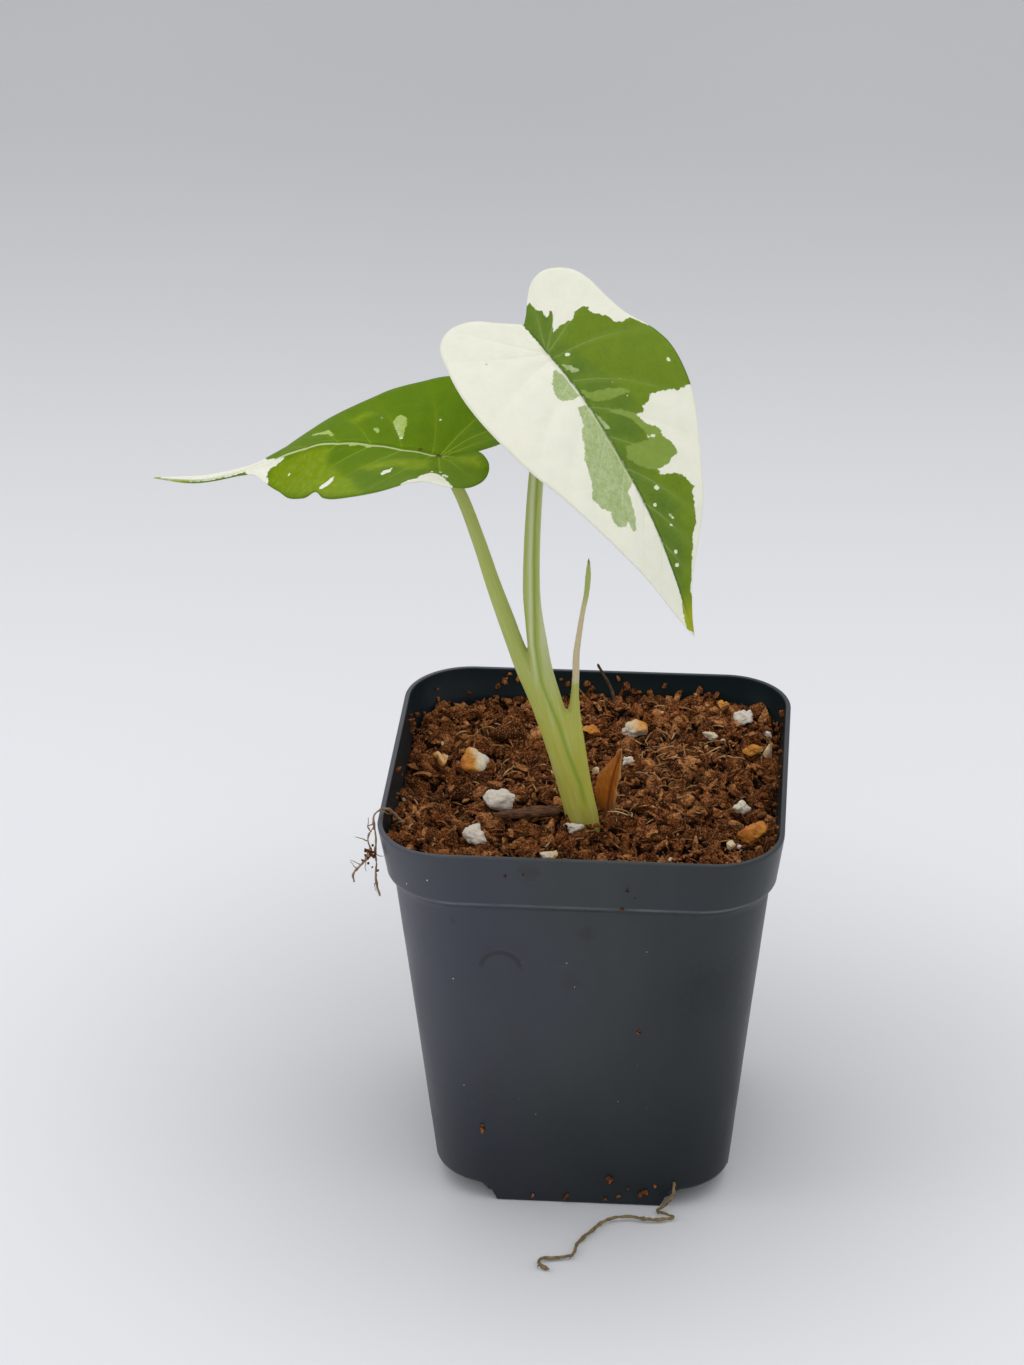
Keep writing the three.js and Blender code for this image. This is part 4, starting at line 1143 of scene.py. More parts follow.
def grain_look(kind):
    """Porous mineral grain, stained by the mix it lies in."""
    look = Look(kind + "_grain")
    grit = settings("grit")
    base = look.mix(look.ease(look.value("stain"), 0.0, 1.0), grit.white, grit.cream)
    stain = look.plus(look.value("stain"), look.times(look.cloud(1.8, detail=4, seed=2), 0.9))
    body = look.mix(look.ease(stain, 0.9, 1.5), base, grit.amber)
    deep = look.mix(look.ease(stain, 1.5, 2.2, 0, 0.8), body, paint(168, 84, 22))
    pits = look.cloud(0.5, detail=5, roughness=0.7, seed=4)
    dirt = look.mix(look.ease(pits, 0.36, 0.24, 0, 0.6), deep, paint(120, 86, 60))
    normal = look.bump(pits, 0.35, look.bump(look.cells(0.45), 0.12))
    return look.finish(base=dirt, roughness=GRAIN_ROUGHNESS[kind], normal=normal, specular=0.35,
                       subsurface=0.12, subsurface_radius=(0.9 * MM, 0.7 * MM, 0.5 * MM),
                       subsurface_scale=1.0)


def build_grains():
    """One grain in the place and the box of each packed stone."""
    depth = settings("grit").roughness / MM
    looks = {kind: grain_look(kind) for kind in GRAIN_ROUGHNESS}
    for node, (kind, number, stained, sideways, upwards) in GRAINS.items():
        low, high = (np.array(corner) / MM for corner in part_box(node))
        unit_points, faces = broken_stone(number)
        high = high + [0, 0, STONE_LIFT.get(node, 0)]
        spans = unit_points.max(0) - unit_points.min(0)
        points = low + (unit_points - unit_points.min(0)) / spans * (high - low)
        lumps = 0.5 * relief(points, 1.3, number, 3) - 0.5 * np.abs(relief(points, 0.8, number + 40, 2))
        points = points + unit(unit_points) * (depth * lumps)[:, None]
        share_x, share_z = ((2 * points - low - high) / (high - low))[:, [0, 2]].T
        stain = stained + sideways * share_x + upwards * share_z + 0.2 * smoothstep(-share_z, 0.2, 1)
        add_piece(node + "_grain", points, faces, looks[kind], kind + "_stone", [node], {"stain": stain})


# The stem

# Centre lines from the blade down to the foot: x, y, z and radius
LEFT_STALK = [
    (-26.4, -10.2, 148.0, 1.1), (-24.7, -10.2, 145.2, 1.1), (-22.5, -10.2, 140.6, 1.15),
    (-19.3, -10.2, 131.1, 1.25), (-17.2, -10.2, 124, 1.38), (-14.8, -10.2, 116.6, 1.55),
    (-13.2, -10.2, 111.7, 1.6), (-11.3, -10.2, 106.4, 1.8), (-8.5, -10.2, 99.8, 2.1),
    (-5.5, -10.2, 91.5, 2.4), (-2.4, -10.2, 83.1, 2.7), (-0.6, -10.2, 76.3, 2.95),
    (-0.2, -10.2, 70, 3.1),
]
RIGHT_STALK = [
    (-6.95, -10.9, 168.9, 1.15), (-7.2, -10.5, 166.4, 1.2), (-8, -10.2, 158, 1.3),
    (-8.8, -10.3, 149, 1.38), (-9.4, -10.5, 141.2, 1.42), (-9.9, -10.5, 131.6, 1.5),
    (-10, -10.5, 121.8, 1.6), (-9.6, -10.5, 116.9, 1.66), (-9, -10.5, 111.9, 1.85),
    (-8.3, -10.5, 106.7, 2.05), (-6.9, -10.5, 100, 2.5), (-4.9, -10.5, 91.7, 2.85),
    (-2.5, -10.5, 83.3, 3.05), (-0.9, -10.5, 76.5, 3.15), (0, -10.3, 70, 3.3),
]
SHEATH_POINT = [
    (0.4, -10.2, 129.6, 0.08), (0.4, -10.2, 128.2, 0.33), (0.3, -10.2, 125.5, 0.55),
    (0, -10.2, 122, 0.52), (-0.6, -10.2, 118.7, 0.5), (-1.2, -10.2, 114.6, 0.55),
    (-1.8, -10.2, 109.6, 0.65), (-1.9, -10.2, 105.1, 0.8), (-2.1, -10.2, 100.1, 1.05),
    (-2.2, -10.2, 95.7, 1.5), (-2.1, -10.3, 91.6, 1.95), (-1.4, -10.3, 83.3, 2.4),
    (-0.3, -10.3, 76.5, 2.5), (0.2, -10.3, 70, 2.6),
]
CORM = [
    (0, -10.3, 73, 3.1), (0, -10.3, 69, 3.5), (0, -10.3, 64, 5.2), (0, -10.3, 59, 5.4),
    (0, -10.3, 54.5, 3.6), (0, -10.3, 53, 1.5),
]
STEM_VOXEL = 0.21
# Rounds of smoothing, of which the first act on the whole stem and the others below the heights
# where the stalks part
MELTING_ROUNDS = 70
FIRST_ROUNDS = 4
STALKS_PART = (99, 110)
# The green line down the front of the right stalk and the stem: x and z
GREEN_LINE = [
    (-7.4, 164), (-8.2, 155), (-9.0, 141.5), (-9.4, 129.5), (-9.3, 118), (-9.2, 112.3), (-8.1, 104.9),
    (-6.1, 99.3), (-4.8, 96), (-3.1, 90.2), (-0.8, 83.6), (0.2, 79),
]


def merged_stem():
    """The stalks and the sheath point grown together: one skin, smoothed where they meet."""
    heap = Heap()
    stalks = ((LEFT_STALK, 160, 32), (RIGHT_STALK, 180, 32), (SHEATH_POINT, 160, 24), (CORM, 30, 32))
    for stops, steps, sides in stalks:
        heap.add(*tube(stops, steps, sides))
    joined = add_mesh("joined", *heap.shape())
    points, faces = worked(joined.data, [("REMESH", {"mode": "VOXEL", "voxel_size": STEM_VOXEL * MM})])
    bpy.data.objects.remove(joined)
    quads = np.array(faces)
    starts, ends = np.vstack([quads[:, [corner, (corner + 1) % 4]] for corner in range(4)]).T
    count = len(points)
    degree = np.bincount(starts, minlength=count) + np.bincount(ends, minlength=count)
    for turn in range(MELTING_ROUNDS):
        total = [np.bincount(starts, points[ends, axis], count)
                 + np.bincount(ends, points[starts, axis], count)
                 for axis in range(3)]
        amount = 0.5 if turn < FIRST_ROUNDS else 0.5 * (1 - smoothstep(points[:, 2], *STALKS_PART))[:, None]
        points = points + amount * (np.column_stack(total) / degree[:, None] - points)
    return points, faces


def stem_values(points):
    """Where each point lies round its own stalk, and how near the green line."""
    x, y, z = points.T
    gaps, angles = [], []
    for stops in (LEFT_STALK, RIGHT_STALK, SHEATH_POINT):
        line = smooth_curve(stops, 300)[0]
        level = line[np.argsort(line[:, 2])]
        centre_x, centre_y, radius = (np.interp(z, level[:, 2], level[:, column]) for column in (0, 1, 3))
        over = np.maximum(z - level[-1, 2], 0)
        gaps.append(np.hypot(x - centre_x, y - centre_y) - radius + 3 * over)
        angles.append(np.arctan2(x - centre_x, centre_y - y))
    kind = np.argmin(gaps, axis=0)
    kind = np.where((z < 99) & (kind == 0), 1, kind)
    angle = np.choose(kind, angles)
    line = np.array(GREEN_LINE)[::-1]
    off = x - np.interp(z, line[:, 1], line[:, 0])
    front = (y < -10.4) & (kind > 0) & ((kind == 1) | (z < 98))
    return kind, angle, np.where(front, off, 9.0)


def stem_look():
    """Stalk skin: long pale and green streaks, a dried tan stretch on the sheath point."""
    look = Look("stalk_skin")
    stem = settings("stem")
    height = look.position("Z")
    where = look.join(look.value("angle"), look.times(height, 0.03), look.value("kind"))
    streak = look.cloud(0.3, detail=4, roughness=0.65, where=where, scale_by=1)
    skin = look.mix(look.ease(height, 112, 84), stem.skin, stem.foot)
    skin = look.mix(look.ease(streak, 0.45, 0.75, 0, 0.35), skin, stem.pale)
    skin = look.mix(look.ease(streak, 0.45, 0.2, 0, 0.3), skin, stem.line)
    skin = look.mix(look.times(look.value("pale"), 0.8), skin, stem.pale)
    skin = look.mix(look.times(look.value("green"), 0.6), skin, stem.line)
    point = look.ease(look.value("kind"), 1.5, 1.9)
    dry = look.times(point, look.times(look.ease(height, 103.2, 104.6), look.ease(height, 124, 117)))
    skin = look.mix(look.times(dry, 0.92), skin, stem.tan)
    skin = look.mix(look.times(point, look.ease(height, 127.6, 129.4)), skin, paint(120, 92, 60))
    skin = look.mix(look.ease(height, 80, 76.5, 0, 0.3), skin, paint(128, 104, 60))
    speck = look.times(look.ease(look.cells(1.1), 0.07, 0.04), look.ease(look.cloud(4), 0.5, 0.65))
    skin = look.mix(look.times(speck, 0.5), skin, paint(92, 96, 40))
    normal = look.bump(streak, 0.1, look.bump(look.cloud(0.2, detail=2), 0.012))
    return look.finish(base=skin, roughness=0.45, normal=normal, specular=0.25, subsurface=0.2,
                       subsurface_radius=(0.8 * MM, 1.0 * MM, 0.3 * MM), subsurface_scale=1.0)


def build_stem():
    """The stem, with its ribs and the channel along the green line."""
    points, faces = merged_stem()
    kind, angle, off = stem_values(points)
    z = points[:, 2]
    width = np.interp(z, [78, 100, 130, 160], [0.5, 0.4, 0.3, 0.25])
    line = np.exp(-((off / width) ** 2)) * smoothstep(z, 77, 82)
    fade = smoothstep(z, 76, 84)
    depth = settings("stem").groove / MM * np.interp(z, [80, 100, 120, 160], [0.5, 0.8, 1, 0.8])
    normals = vertex_normals(points, faces)
    ribs = 0.02 * np.cos(11 * angle) * fade
    points = points + normals * (ribs - depth * line)[:, None]
    upper = smoothstep(z, 100, 114) * (kind == 1)
    pale_left = np.exp(-(((off + 0.75) / 0.42) ** 2))
    pale_right = 0.75 * smoothstep(off, 0.5, 1.1) * (off < 5)
    pale = upper * np.maximum(pale_left, pale_right)
    values = {"angle": angle, "kind": kind, "green": line, "pale": pale}
    add_piece("stem_and_stalks", points, faces, stem_look(), "stem_skin", ["stem"], values)


# The two leaf blades

# A blade is drawn flat: x runs from the stalk to the tip and y out from the midrib, above zero on
# the left hand of someone who looks along the blade to its tip. Turns give the roll and the rise
# of the left-hand and the right-hand half, in degrees, along the midrib.
RIGHT_LEAF = {
    "midrib": [(-6.9, -11, 169.5), (-1.4, -16.6, 165.2), (3.5, -21.7, 160.1), (13.3, -31.1, 146.1),
               (20.8, -37.8, 128.1)],
    "turns": [(0, 24, 15, 15), (60, 24, 15, 15)],
    "sinus_rise": 0,
    "cup": 0.004,
    "notch": -7.5,
    "right_hand": [
        (-10, 4), (-12.5, 8), (-13, 12.5), (-10.8, 16.2), (-5, 18.1), (1, 19), (7, 19), (12.5, 18.2),
        (19.5, 16.4), (25, 14), (31.5, 11.4), (38.5, 8.5), (46, 5), (53, 2.2),
    ],
    "left_hand": [
        (-8.8, 1.4), (-10.9, 3.2), (-13.3, 5.9), (-13.7, 9), (-11, 12.8), (-7.5, 14.3), (-3, 14.8),
        (3, 15.8), (8, 17.9), (11.5, 18.6), (18.3, 17.7), (24.5, 15.4), (31.5, 12.1), (36, 10),
        (42, 6.3), (48, 3), (54, 0.9),
    ],
}
LEFT_LEAF = {
    "midrib": [(-26.8, -10.2, 148.6), (-33.5, -8.5, 148.9), (-41.7, -6.3, 148.8), (-49.1, -4.4, 147.5),
               (-57.4, -2.4, 143.5), (-63.6, -0.8, 140.3), (-72.1, 1.3, 137.2), (-81.3, 3.6, 136.3)],
    "turns": [(0, -9, 17, 17), (32, -15, -19, -10), (40, -15, 0, 0)],
    "sinus_rise": 24,
    "cup": 0,
    "notch": -7.5,
    "left_hand": [
        (-9.6, 2.4), (-11.3, 4.7), (-11.9, 7.1), (-11.5, 10.5), (-10, 13.9), (-7.2, 15), (-2.8, 14.5),
        (0.2, 17), (3.8, 18.7), (8.1, 18.6), (13.4, 17.5), (16.8, 15.7), (19.9, 12.9), (22.2, 13.4),
        (25.6, 12.2), (28.9, 10.3), (31.6, 7.4), (34.3, 4.9), (37.2, 2), (40.5, 1.1), (46, 0.8),
        (52, 0.7),
    ],
    "right_hand": [
        (-11.9, 1.2), (-14, 5), (-14.6, 9.5), (-12.4, 14), (-7.5, 17.3), (-1.5, 19.2), (4.5, 19.4),
        (9.7, 17.9), (14, 16.1), (17.2, 13.9), (21.4, 11), (26.7, 7.8), (30.5, 5.8), (33.7, 3.3),
        (37, 1.6), (40, 1.3), (46, 1.4), (52, 1.1),
    ],
}
STALK_SHARE = 0.3

# Outlines of the markings in the same flat drawing, where y below zero is the right hand
RIGHT_MARKS = {
    "green": [
        [
            (-7.5, -0.4), (-9, 0.6), (-10.3, 3.2), (-8.4, 3.3), (-7.3, 4.1), (-6, 3.8), (-5.7, 4.3),
            (-6.5, 5), (-6.1, 5.5), (-2.8, 3.1), (-3, 5.3), (-2.5, 7.4), (-3.5, 8.6), (-3.5, 10.4),
            (-2.7, 10.9), (-1.5, 10.7), (1, 12.6), (3.1, 13.1), (3.9, 14.5), (3.6, 15.4), (7, 17.4),
            (12, 22), (19, 20), (18.5, 17.7), (18.2, 16.2), (18.3, 15.2), (17.3, 13.7), (16.8, 11.3),
            (16.5, 10.5), (17.5, 9.4), (17.6, 8.1), (18.5, 8), (18.5, 6.5), (21, 7.3), (21.7, 8.3),
            (22.9, 9), (23.5, 8.3), (25.5, 9.4), (27.7, 9.5), (27.9, 8), (28.6, 7.4), (28.5, 5),
            (29.6, 4.8), (30.2, 6.9), (31.3, 8.3), (32.6, 9), (33.9, 9.2), (34.5, 8.5), (35.8, 8.2),
            (38.9, 7.1), (41, 5.6), (44.9, 3.9), (49.7, 1.9), (54, 1.6), (57, 0), (56, -1), (53, -0.7),
            (49, -0.1), (27, 0.2), (0, 0.1),
        ],
    ],
    "light": [
        [
            (15.1, 2.4), (16.1, 4.5), (18.2, 6.7), (21, 7.5), (21.7, 8.5), (22.9, 9.2), (23.5, 8.5),
            (25.5, 9.6), (27.8, 9.6), (28.1, 8), (28.8, 7.4), (28.7, 4.6), (26.3, 2.2), (24.3, 1.1),
            (22.3, 2.1), (22.9, 4.6), (23.3, 6), (21.5, 6.4), (18.9, 5.5), (15.8, 3),
        ],
        [
            (9.2, 0.5), (10.7, 1.8), (11.6, 3.9), (12.2, 5.3), (14, 7.6), (14.5, 7.4), (14.3, 6),
            (13.6, 3.6), (12.7, 1.6), (11, 0.6),
        ],
    ],
    "pale": [
        [(3.4, 0.8), (4.4, 1.8), (6.3, 2.6), (5.8, 1.4), (4.8, 0.8)],
        [(14.4, 0.3), (16, 0.8), (17.5, 1.3), (18.6, 1.3), (17.7, 0.5), (15.9, 0.3)],
        [(3.4, -1.2), (5.8, -3.4), (8.5, -4.3), (9.8, -3.6), (10.4, -1.7), (10.2, -0.4), (5.2, -0.4)],
        [(12, -1.9), (15.2, -2.7), (17, -4.1), (19.7, -5.1), (21.3, -6.3), (24.1, -6.9), (25.6, -7.2),
         (28.4, -8.8), (30.4, -8), (31.7, -6.8), (33.5, -7.2), (35, -6.5), (35.2, -5.3), (34.6, -4.5),
         (36.5, -4.6), (36.6, -3.8), (34.4, -2.9), (32, -2.3), (29.6, -1.8), (28.4, 0.1), (18, 0.2),
         (12.3, -0.1)],
    ],
    "dark": [
        [
            (-10.5, 3.2), (-6, 5), (-1, 3.6), (4, 4.2), (9, 5.4), (14, 7), (18, 7.6), (22, 6), (24, 3),
            (28, 3), (36, 5.4), (44, 3), (50, 0), (0, -0.5), (-8, -0.6),
        ],
    ],
    "specks": [(13.3, 16.5, 0.45), (2.3, 2.6, 0.4), (2.6, 2.9, 0.3), (11.5, 6.2, 0.3), (11.7, 7.4, 0.25),
               (14.9, 6.9, 0.25), (22.8, 6.4, 0.35), (23.1, 7.2, 0.4), (31.3, 3.3, 0.5), (33.8, 1.6, 0.4),
               (36.4, 3.2, 0.3), (37, 3.5, 0.3), (38, 2.7, 0.3), (38.6, 2.9, 0.22), (42.6, 1.7, 0.4),
               (44.8, 1.1, 0.4), (24.2, 4.2, 0.2)],
    "flecks": [(-3.5, -11.2, 0.25)],
}
LEFT_MARKS = {
    "white": [
        [(30.2, 0.5), (31.9, 1.3), (33.1, 1.7), (33.9, 2.5), (33.9, 3.7), (33.5, 4.7), (34, 6), (37, 5),
         (38.2, 1.9), (39.2, 0.7), (43, 0.6), (47.1, 0.5), (52, 0.3), (57, 0.4), (57.5, -3), (36.5, -3),
         (34.5, -0.7), (32, -0.1)],
        [
            (0.9, 17.2), (-0.1, 15.5), (-1, 14.2), (-1.2, 11.8), (-2.1, 9.8), (-3.4, 9.8), (-5, 11.1),
            (-6.9, 13.6), (-8.5, 15.6), (-8, 20), (0, 22),
        ],
        [(7, 10.8), (6.9, 9.5), (5.7, 8), (5.5, 9.6), (6.3, 11.1)],
        [(16.5, 9.8), (16.4, 11.3), (17.3, 12.7), (18.8, 13.1), (18.9, 12.2), (17.5, 11), (16.9, 9.9)],
        [(8.3, -2.6), (9.5, -4.7), (11.1, -6.8), (10.8, -6.9), (8.9, -4.7), (7.7, -2.7)],
    ],
    "pale": [
        [
            (11, -6.6), (10.9, -8.2), (9.9, -8.6), (8.7, -7.8), (8.1, -6.3), (8.1, -4.8), (7.7, -2.7),
            (8.3, -2.9), (9.7, -4.8),
        ],
        [(13.8, -4.3), (13.3, -4.8), (12.5, -3.8), (12.9, -3.2)],
        [(14.2, -8.3), (13.5, -8), (13.1, -7.2), (13.7, -7.5)],
        [(17.4, 0.3), (16.5, 1.1), (15, 0.3), (12.9, 1), (12, 0.3)],
        [(20.5, -2), (22.8, -3.6), (25.9, -4.2), (26, -4.8), (22.4, -4.6)],
    ],
    "light": [
        [(19.3, -7.1), (18.3, -8.4), (16.4, -9.2), (14.8, -8.6), (16.9, -7.1), (18.1, -6.1)],
        [(-3.2, 2.1), (-5.1, 1.9), (-8.4, 2.7), (-10.6, 5.1), (-9.7, 6), (-6.5, 4.6)],
        [
            (20.4, 1), (28, 0.8), (33, 1.6), (33.5, 5), (31, 8), (25, 12), (20, 13), (17, 15), (12, 17),
            (8, 18), (12, 12), (17, 8), (20, 5),
        ],
        [(0.5, 3), (6, 4), (12, 7), (10, 9), (5, 7), (1, 9), (-1, 8)],
    ],
    "dark": [
        [(20.2, 0.9), (16.3, 1.2), (11.7, 1.2), (11.6, 2.9), (14.3, 5.8), (18.1, 4.8), (20, 2.6)],
        [(10, 12.8), (10.8, 9.2), (8.9, 7.5), (2.3, 11.2), (1.1, 17.1), (5.9, 18)],
        [(0, -2), (5, -4), (8, -9), (5, -15), (-3, -17), (-10, -12), (-6, -4)],
    ],
    "specks": [(-2, 9.1, 0.35), (-3.4, 8.5, 0.3), (-4.6, 10, 0.5), (-5.3, 10.4, 0.4), (-4.4, 8.4, 0.2),
               (28.9, 5, 0.35), (2.4, -8.4, 0.3), (9.6, 3.4, 0.2)],
    "flecks": [
        (-0.1, 0.2, 0.75), (-2.3, 7.3, 0.3), (-1.7, 8.6, 0.3), (-3.9, 9.3, 0.25), (3.6, -0.8, 0.4),
    ],
}
# Side veins: distance along the midrib, and heading from it in degrees, over 90 back into the lobe
VEIN_STARTS = [(-0.5, 158), (-0.4, 132), (-0.2, 108), (1.2, 82), (6.8, 62), (12.8, 54), (19, 46),
               (25.5, 38), (32.5, 30), (40, 24)]
LONGEST_VEIN = 24


class Blade:
    """One leaf blade, drawn flat and laid along its midrib."""

    rows = 230
    columns = 38

    def __init__(self, drawing, marks):
        self.drawing, self.marks = drawing, marks
        self.line, self.tip = smooth_curve(drawing["midrib"], 201)
        self.along = unit(np.gradient(self.line, axis=0))
        self.hands = {}
        for side, name in ((1, "left_hand"), (-1, "right_hand")):
            stops = [(drawing["notch"], 0, 0), *((x, y, 0) for x, y in drawing[name]), (self.tip, 0, 0)]
            self.hands[side] = smooth_curve(stops, self.rows + 1)[0][:, :2]
        right_edge = self.hands[-1] * [1, -1]
        self.outline = np.vstack([self.hands[1], right_edge[-2:0:-1]])

    def turns(self, x):
        """The roll and the rise of both halves at places along the midrib."""
        stops = np.array(self.drawing["turns"], float)
        return [np.radians(np.interp(x, stops[:, 0], stops[:, column])) for column in (1, 2, 3)]

    def place(self, x, y):
        """Places in space of points x, y of the flat drawing."""
        spot = np.clip(x, 0, self.tip) / self.tip * (len(self.line) - 1)
        index = np.minimum(spot.astype(int), len(self.line) - 2)
        part = (spot - index)[:, None]
        centre = self.line[index] * (1 - part) + self.line[index + 1] * part
        along = unit(self.along[index] * (1 - part) + self.along[index + 1] * part)
        level = unit(np.cross([0, 0, 1], along))
        upright = np.cross(along, level)
        roll, left_rise, right_rise = self.turns(x)
        cosine, sine = np.cos(roll)[:, None], np.sin(roll)[:, None]
        side, face = level * cosine + upright * sine, upright * cosine - level * sine
        rise = np.where(y > 0, left_rise, right_rise)
        out, behind = np.abs(y), np.minimum(x, 0)
        sinus = math.tan(math.radians(self.drawing["sinus_rise"])) * (np.hypot(behind, 1.5) - 1.5)
        lift = out * np.sin(rise) - self.drawing["cup"] * out**2 + sinus * np.exp(-((out / 6) ** 2))
        return centre + along * behind[:, None] + side * (y * np.cos(rise))[:, None] + face * lift[:, None]

    def flat_grid(self):
        """Points of the flat drawing, in rows that run from edge to edge across the midrib."""
        notch = self.drawing["notch"]
        grid = []
        for row in range(self.rows + 1):
            part = row / self.rows
            if part < STALK_SHARE:
                rib = notch * (1 - part / STALK_SHARE)
            else:
                rib = self.tip * ((part - STALK_SHARE) / (1 - STALK_SHARE)) ** 1.12
            for column in range(-self.columns, self.columns + 1):
                side = 1 if column > 0 else -1
                edge = self.hands[side][row]
                out = (abs(column) / self.columns) ** 1.3
                grid.append((rib + (edge[0] - rib) * out, side * out * edge[1]))
        return np.array(grid)

    def veins(self):
        """Side veins as lines in the flat drawing, each from the midrib to near the edge."""
        lines = []
        for side, (start, heading) in itertools.product((1, -1), VEIN_STARTS):
            turn = math.radians(heading)
            run = np.linspace(0, LONGEST_VEIN, 60)
            bow = 0.011 if heading < 100 else -0.006
            x = start + run * math.cos(turn) + bow * run**2
            y = run * math.sin(turn) - 0.35 * bow * run**2
            room = polygon_distance(x, side * y, self.outline)
            ends = np.nonzero(room[3:] < 1.0)[0]
            stop = ends[0] + 3 if len(ends) else len(run)
            lines.append(np.column_stack([x, side * y])[:stop])
        return lines


def segment_distance(x, y, line):
    """Distance from each point to a line of points, and how far along it the nearest place is."""
    best, where = np.full(len(x), np.inf), np.zeros(len(x))
    for number, (start, end) in enumerate(zip(line, line[1:])):
        step = end - start
        part = np.clip(((x - start[0]) * step[0] + (y - start[1]) * step[1]) / max(step @ step, 1e-9), 0, 1)
        gap = np.hypot(x - start[0] - part * step[0], y - start[1] - part * step[1])
        nearer = gap < best
        best = np.where(nearer, gap, best)
        where = np.where(nearer, (number + part) / (len(line) - 1), where)
    return best, where


def polygon_distance(x, y, outline):
    """Distance inside an outline, below zero outside it."""
    outline = np.asarray(outline, float)
    gap, _ = segment_distance(x, y, np.vstack([outline, outline[:1]]))
    inside = np.zeros(len(x), bool)
    for start, end in zip(outline, np.roll(outline, -1, 0)):
        crosses = (start[1] > y) != (end[1] > y)
        rise = end[1] - start[1] if end[1] != start[1] else 1e-9
        inside ^= crosses & (x < start[0] + (y - start[1]) / rise * (end[0] - start[0]))
    return np.where(inside, gap, -gap)


def zone(x, y, outlines):
    """Distance inside the nearest of several outlines, held to a few millimetres."""
    fields = [polygon_distance(x, y, outline) for outline in outlines]
    return np.clip(np.max(fields, axis=0), -3, 3) if fields else np.full(len(x), -3.0)


def blade_values(blade, x, y):
    """What the blade's finish needs at each point of its flat drawing."""
    marks = blade.marks
    distances = [segment_distance(x, y, line) for line in blade.veins()]
    vein, part = distances[0]
    for gap, where in distances[1:]:
        part = np.where(gap < vein, where, part)
        vein = np.minimum(gap, vein)
    values = {
        "flat_x": x,
        "flat_y": y,
        "edge": polygon_distance(x, y, blade.outline),
        "vein": vein,
        "vein_part": part,
        "light": zone(x, y, marks["light"]),
        "pale": zone(x, y, marks["pale"]),
        "dark": zone(x, y, marks["dark"]),
    }
    values["green"] = zone(x, y, marks["green"]) if "green" in marks else -zone(x, y, marks["white"])
    for name in ("specks", "flecks"):
        values[name] = np.max([radius - np.hypot(x - cx, y - cy) for cx, cy, radius in marks[name]], axis=0)
    return values


def build_blade(name, node, drawing, marks, look, slot):
    """A blade with two faces: quilted with sunken veins above, ribbed below, thin at its edge."""
    leaf = settings("leaf")
    blade = Blade(drawing, marks)
    grid = blade.flat_grid()
    x, y = grid.T
    values = blade_values(blade, x, y)
    middle = blade.place(x, y)
    width = 2 * blade.columns + 1
    shaped = middle.reshape(blade.rows + 1, width, 3)
    normal = unit(np.cross(np.gradient(shaped, axis=0), np.gradient(shaped, axis=1)).reshape(-1, 3))
    inner = np.abs(y) > 1e-6
    normal[~inner & (x < 0)] = normal[np.nonzero(inner)[0][0]]
    vein, edge, out = values["vein"], values["edge"], np.abs(y)
    fade = (1 - 0.6 * values["vein_part"]) * smoothstep(edge, 0.3, 2.5)
    rib_size = np.interp(x, [-7.5, -1, 0, 12, 40, 56], [0.1, 1.0, 1.15, 0.85, 0.4, 0.15])
    sunken = -0.09 * np.exp(-((vein / 0.32) ** 2)) * fade
    swell = leaf.quilting / MM * (smoothstep(vein, 0, 3) - 0.5) * smoothstep(edge, 0, 4)
    rib = 0.16 * np.exp(-(((out - 0.85 * rib_size) / 0.35) ** 2)) - 0.14 * np.exp(-((out / 0.3) ** 2))
    rib *= smoothstep(x, -7, -1) * smoothstep(edge, 0.2, 1.4)
    half = leaf.thickness / MM / 2 * (0.45 + 0.55 * smoothstep(edge, 0, 0.9))
    ridge = np.sqrt(np.maximum(rib_size**2 - out**2, 0)) * smoothstep(edge, 0.1, 1.2)
    ridge += 0.16 * np.exp(-((vein / 0.34) ** 2)) * fade
    above = middle + normal * (half + sunken + swell + rib)[:, None]
    below = middle + normal * (swell - half - ridge)[:, None]
    points, faces = close_blade(above, below, blade.rows, width)
    both = {label: np.tile(numbers, 2) for label, numbers in values.items()}
    both["under"] = np.repeat([0.0, 1.0], len(x))
    add_piece(name, points, faces, look, slot, [node], both)


def close_blade(above, below, rows, width):
    """Joins an upper and a lower grid of points along the two ends of their rows."""
    count = len(above)
    faces = []
    for row in range(rows):
        for column in range(width - 1):
            a = row * width + column
            b, c, d = a + 1, a + width + 1, a + width
            faces.append((a, d, c, b))
            faces.append((a + count, b + count, c + count, d + count))
    for row in range(rows):
        a, b = row * width, (row + 1) * width
        faces.append((a, a + count, b + count, b))
        a, b = a + width - 1, b + width - 1
        faces.append((a, b, b + count, a + count))
    return np.vstack([above, below]), faces


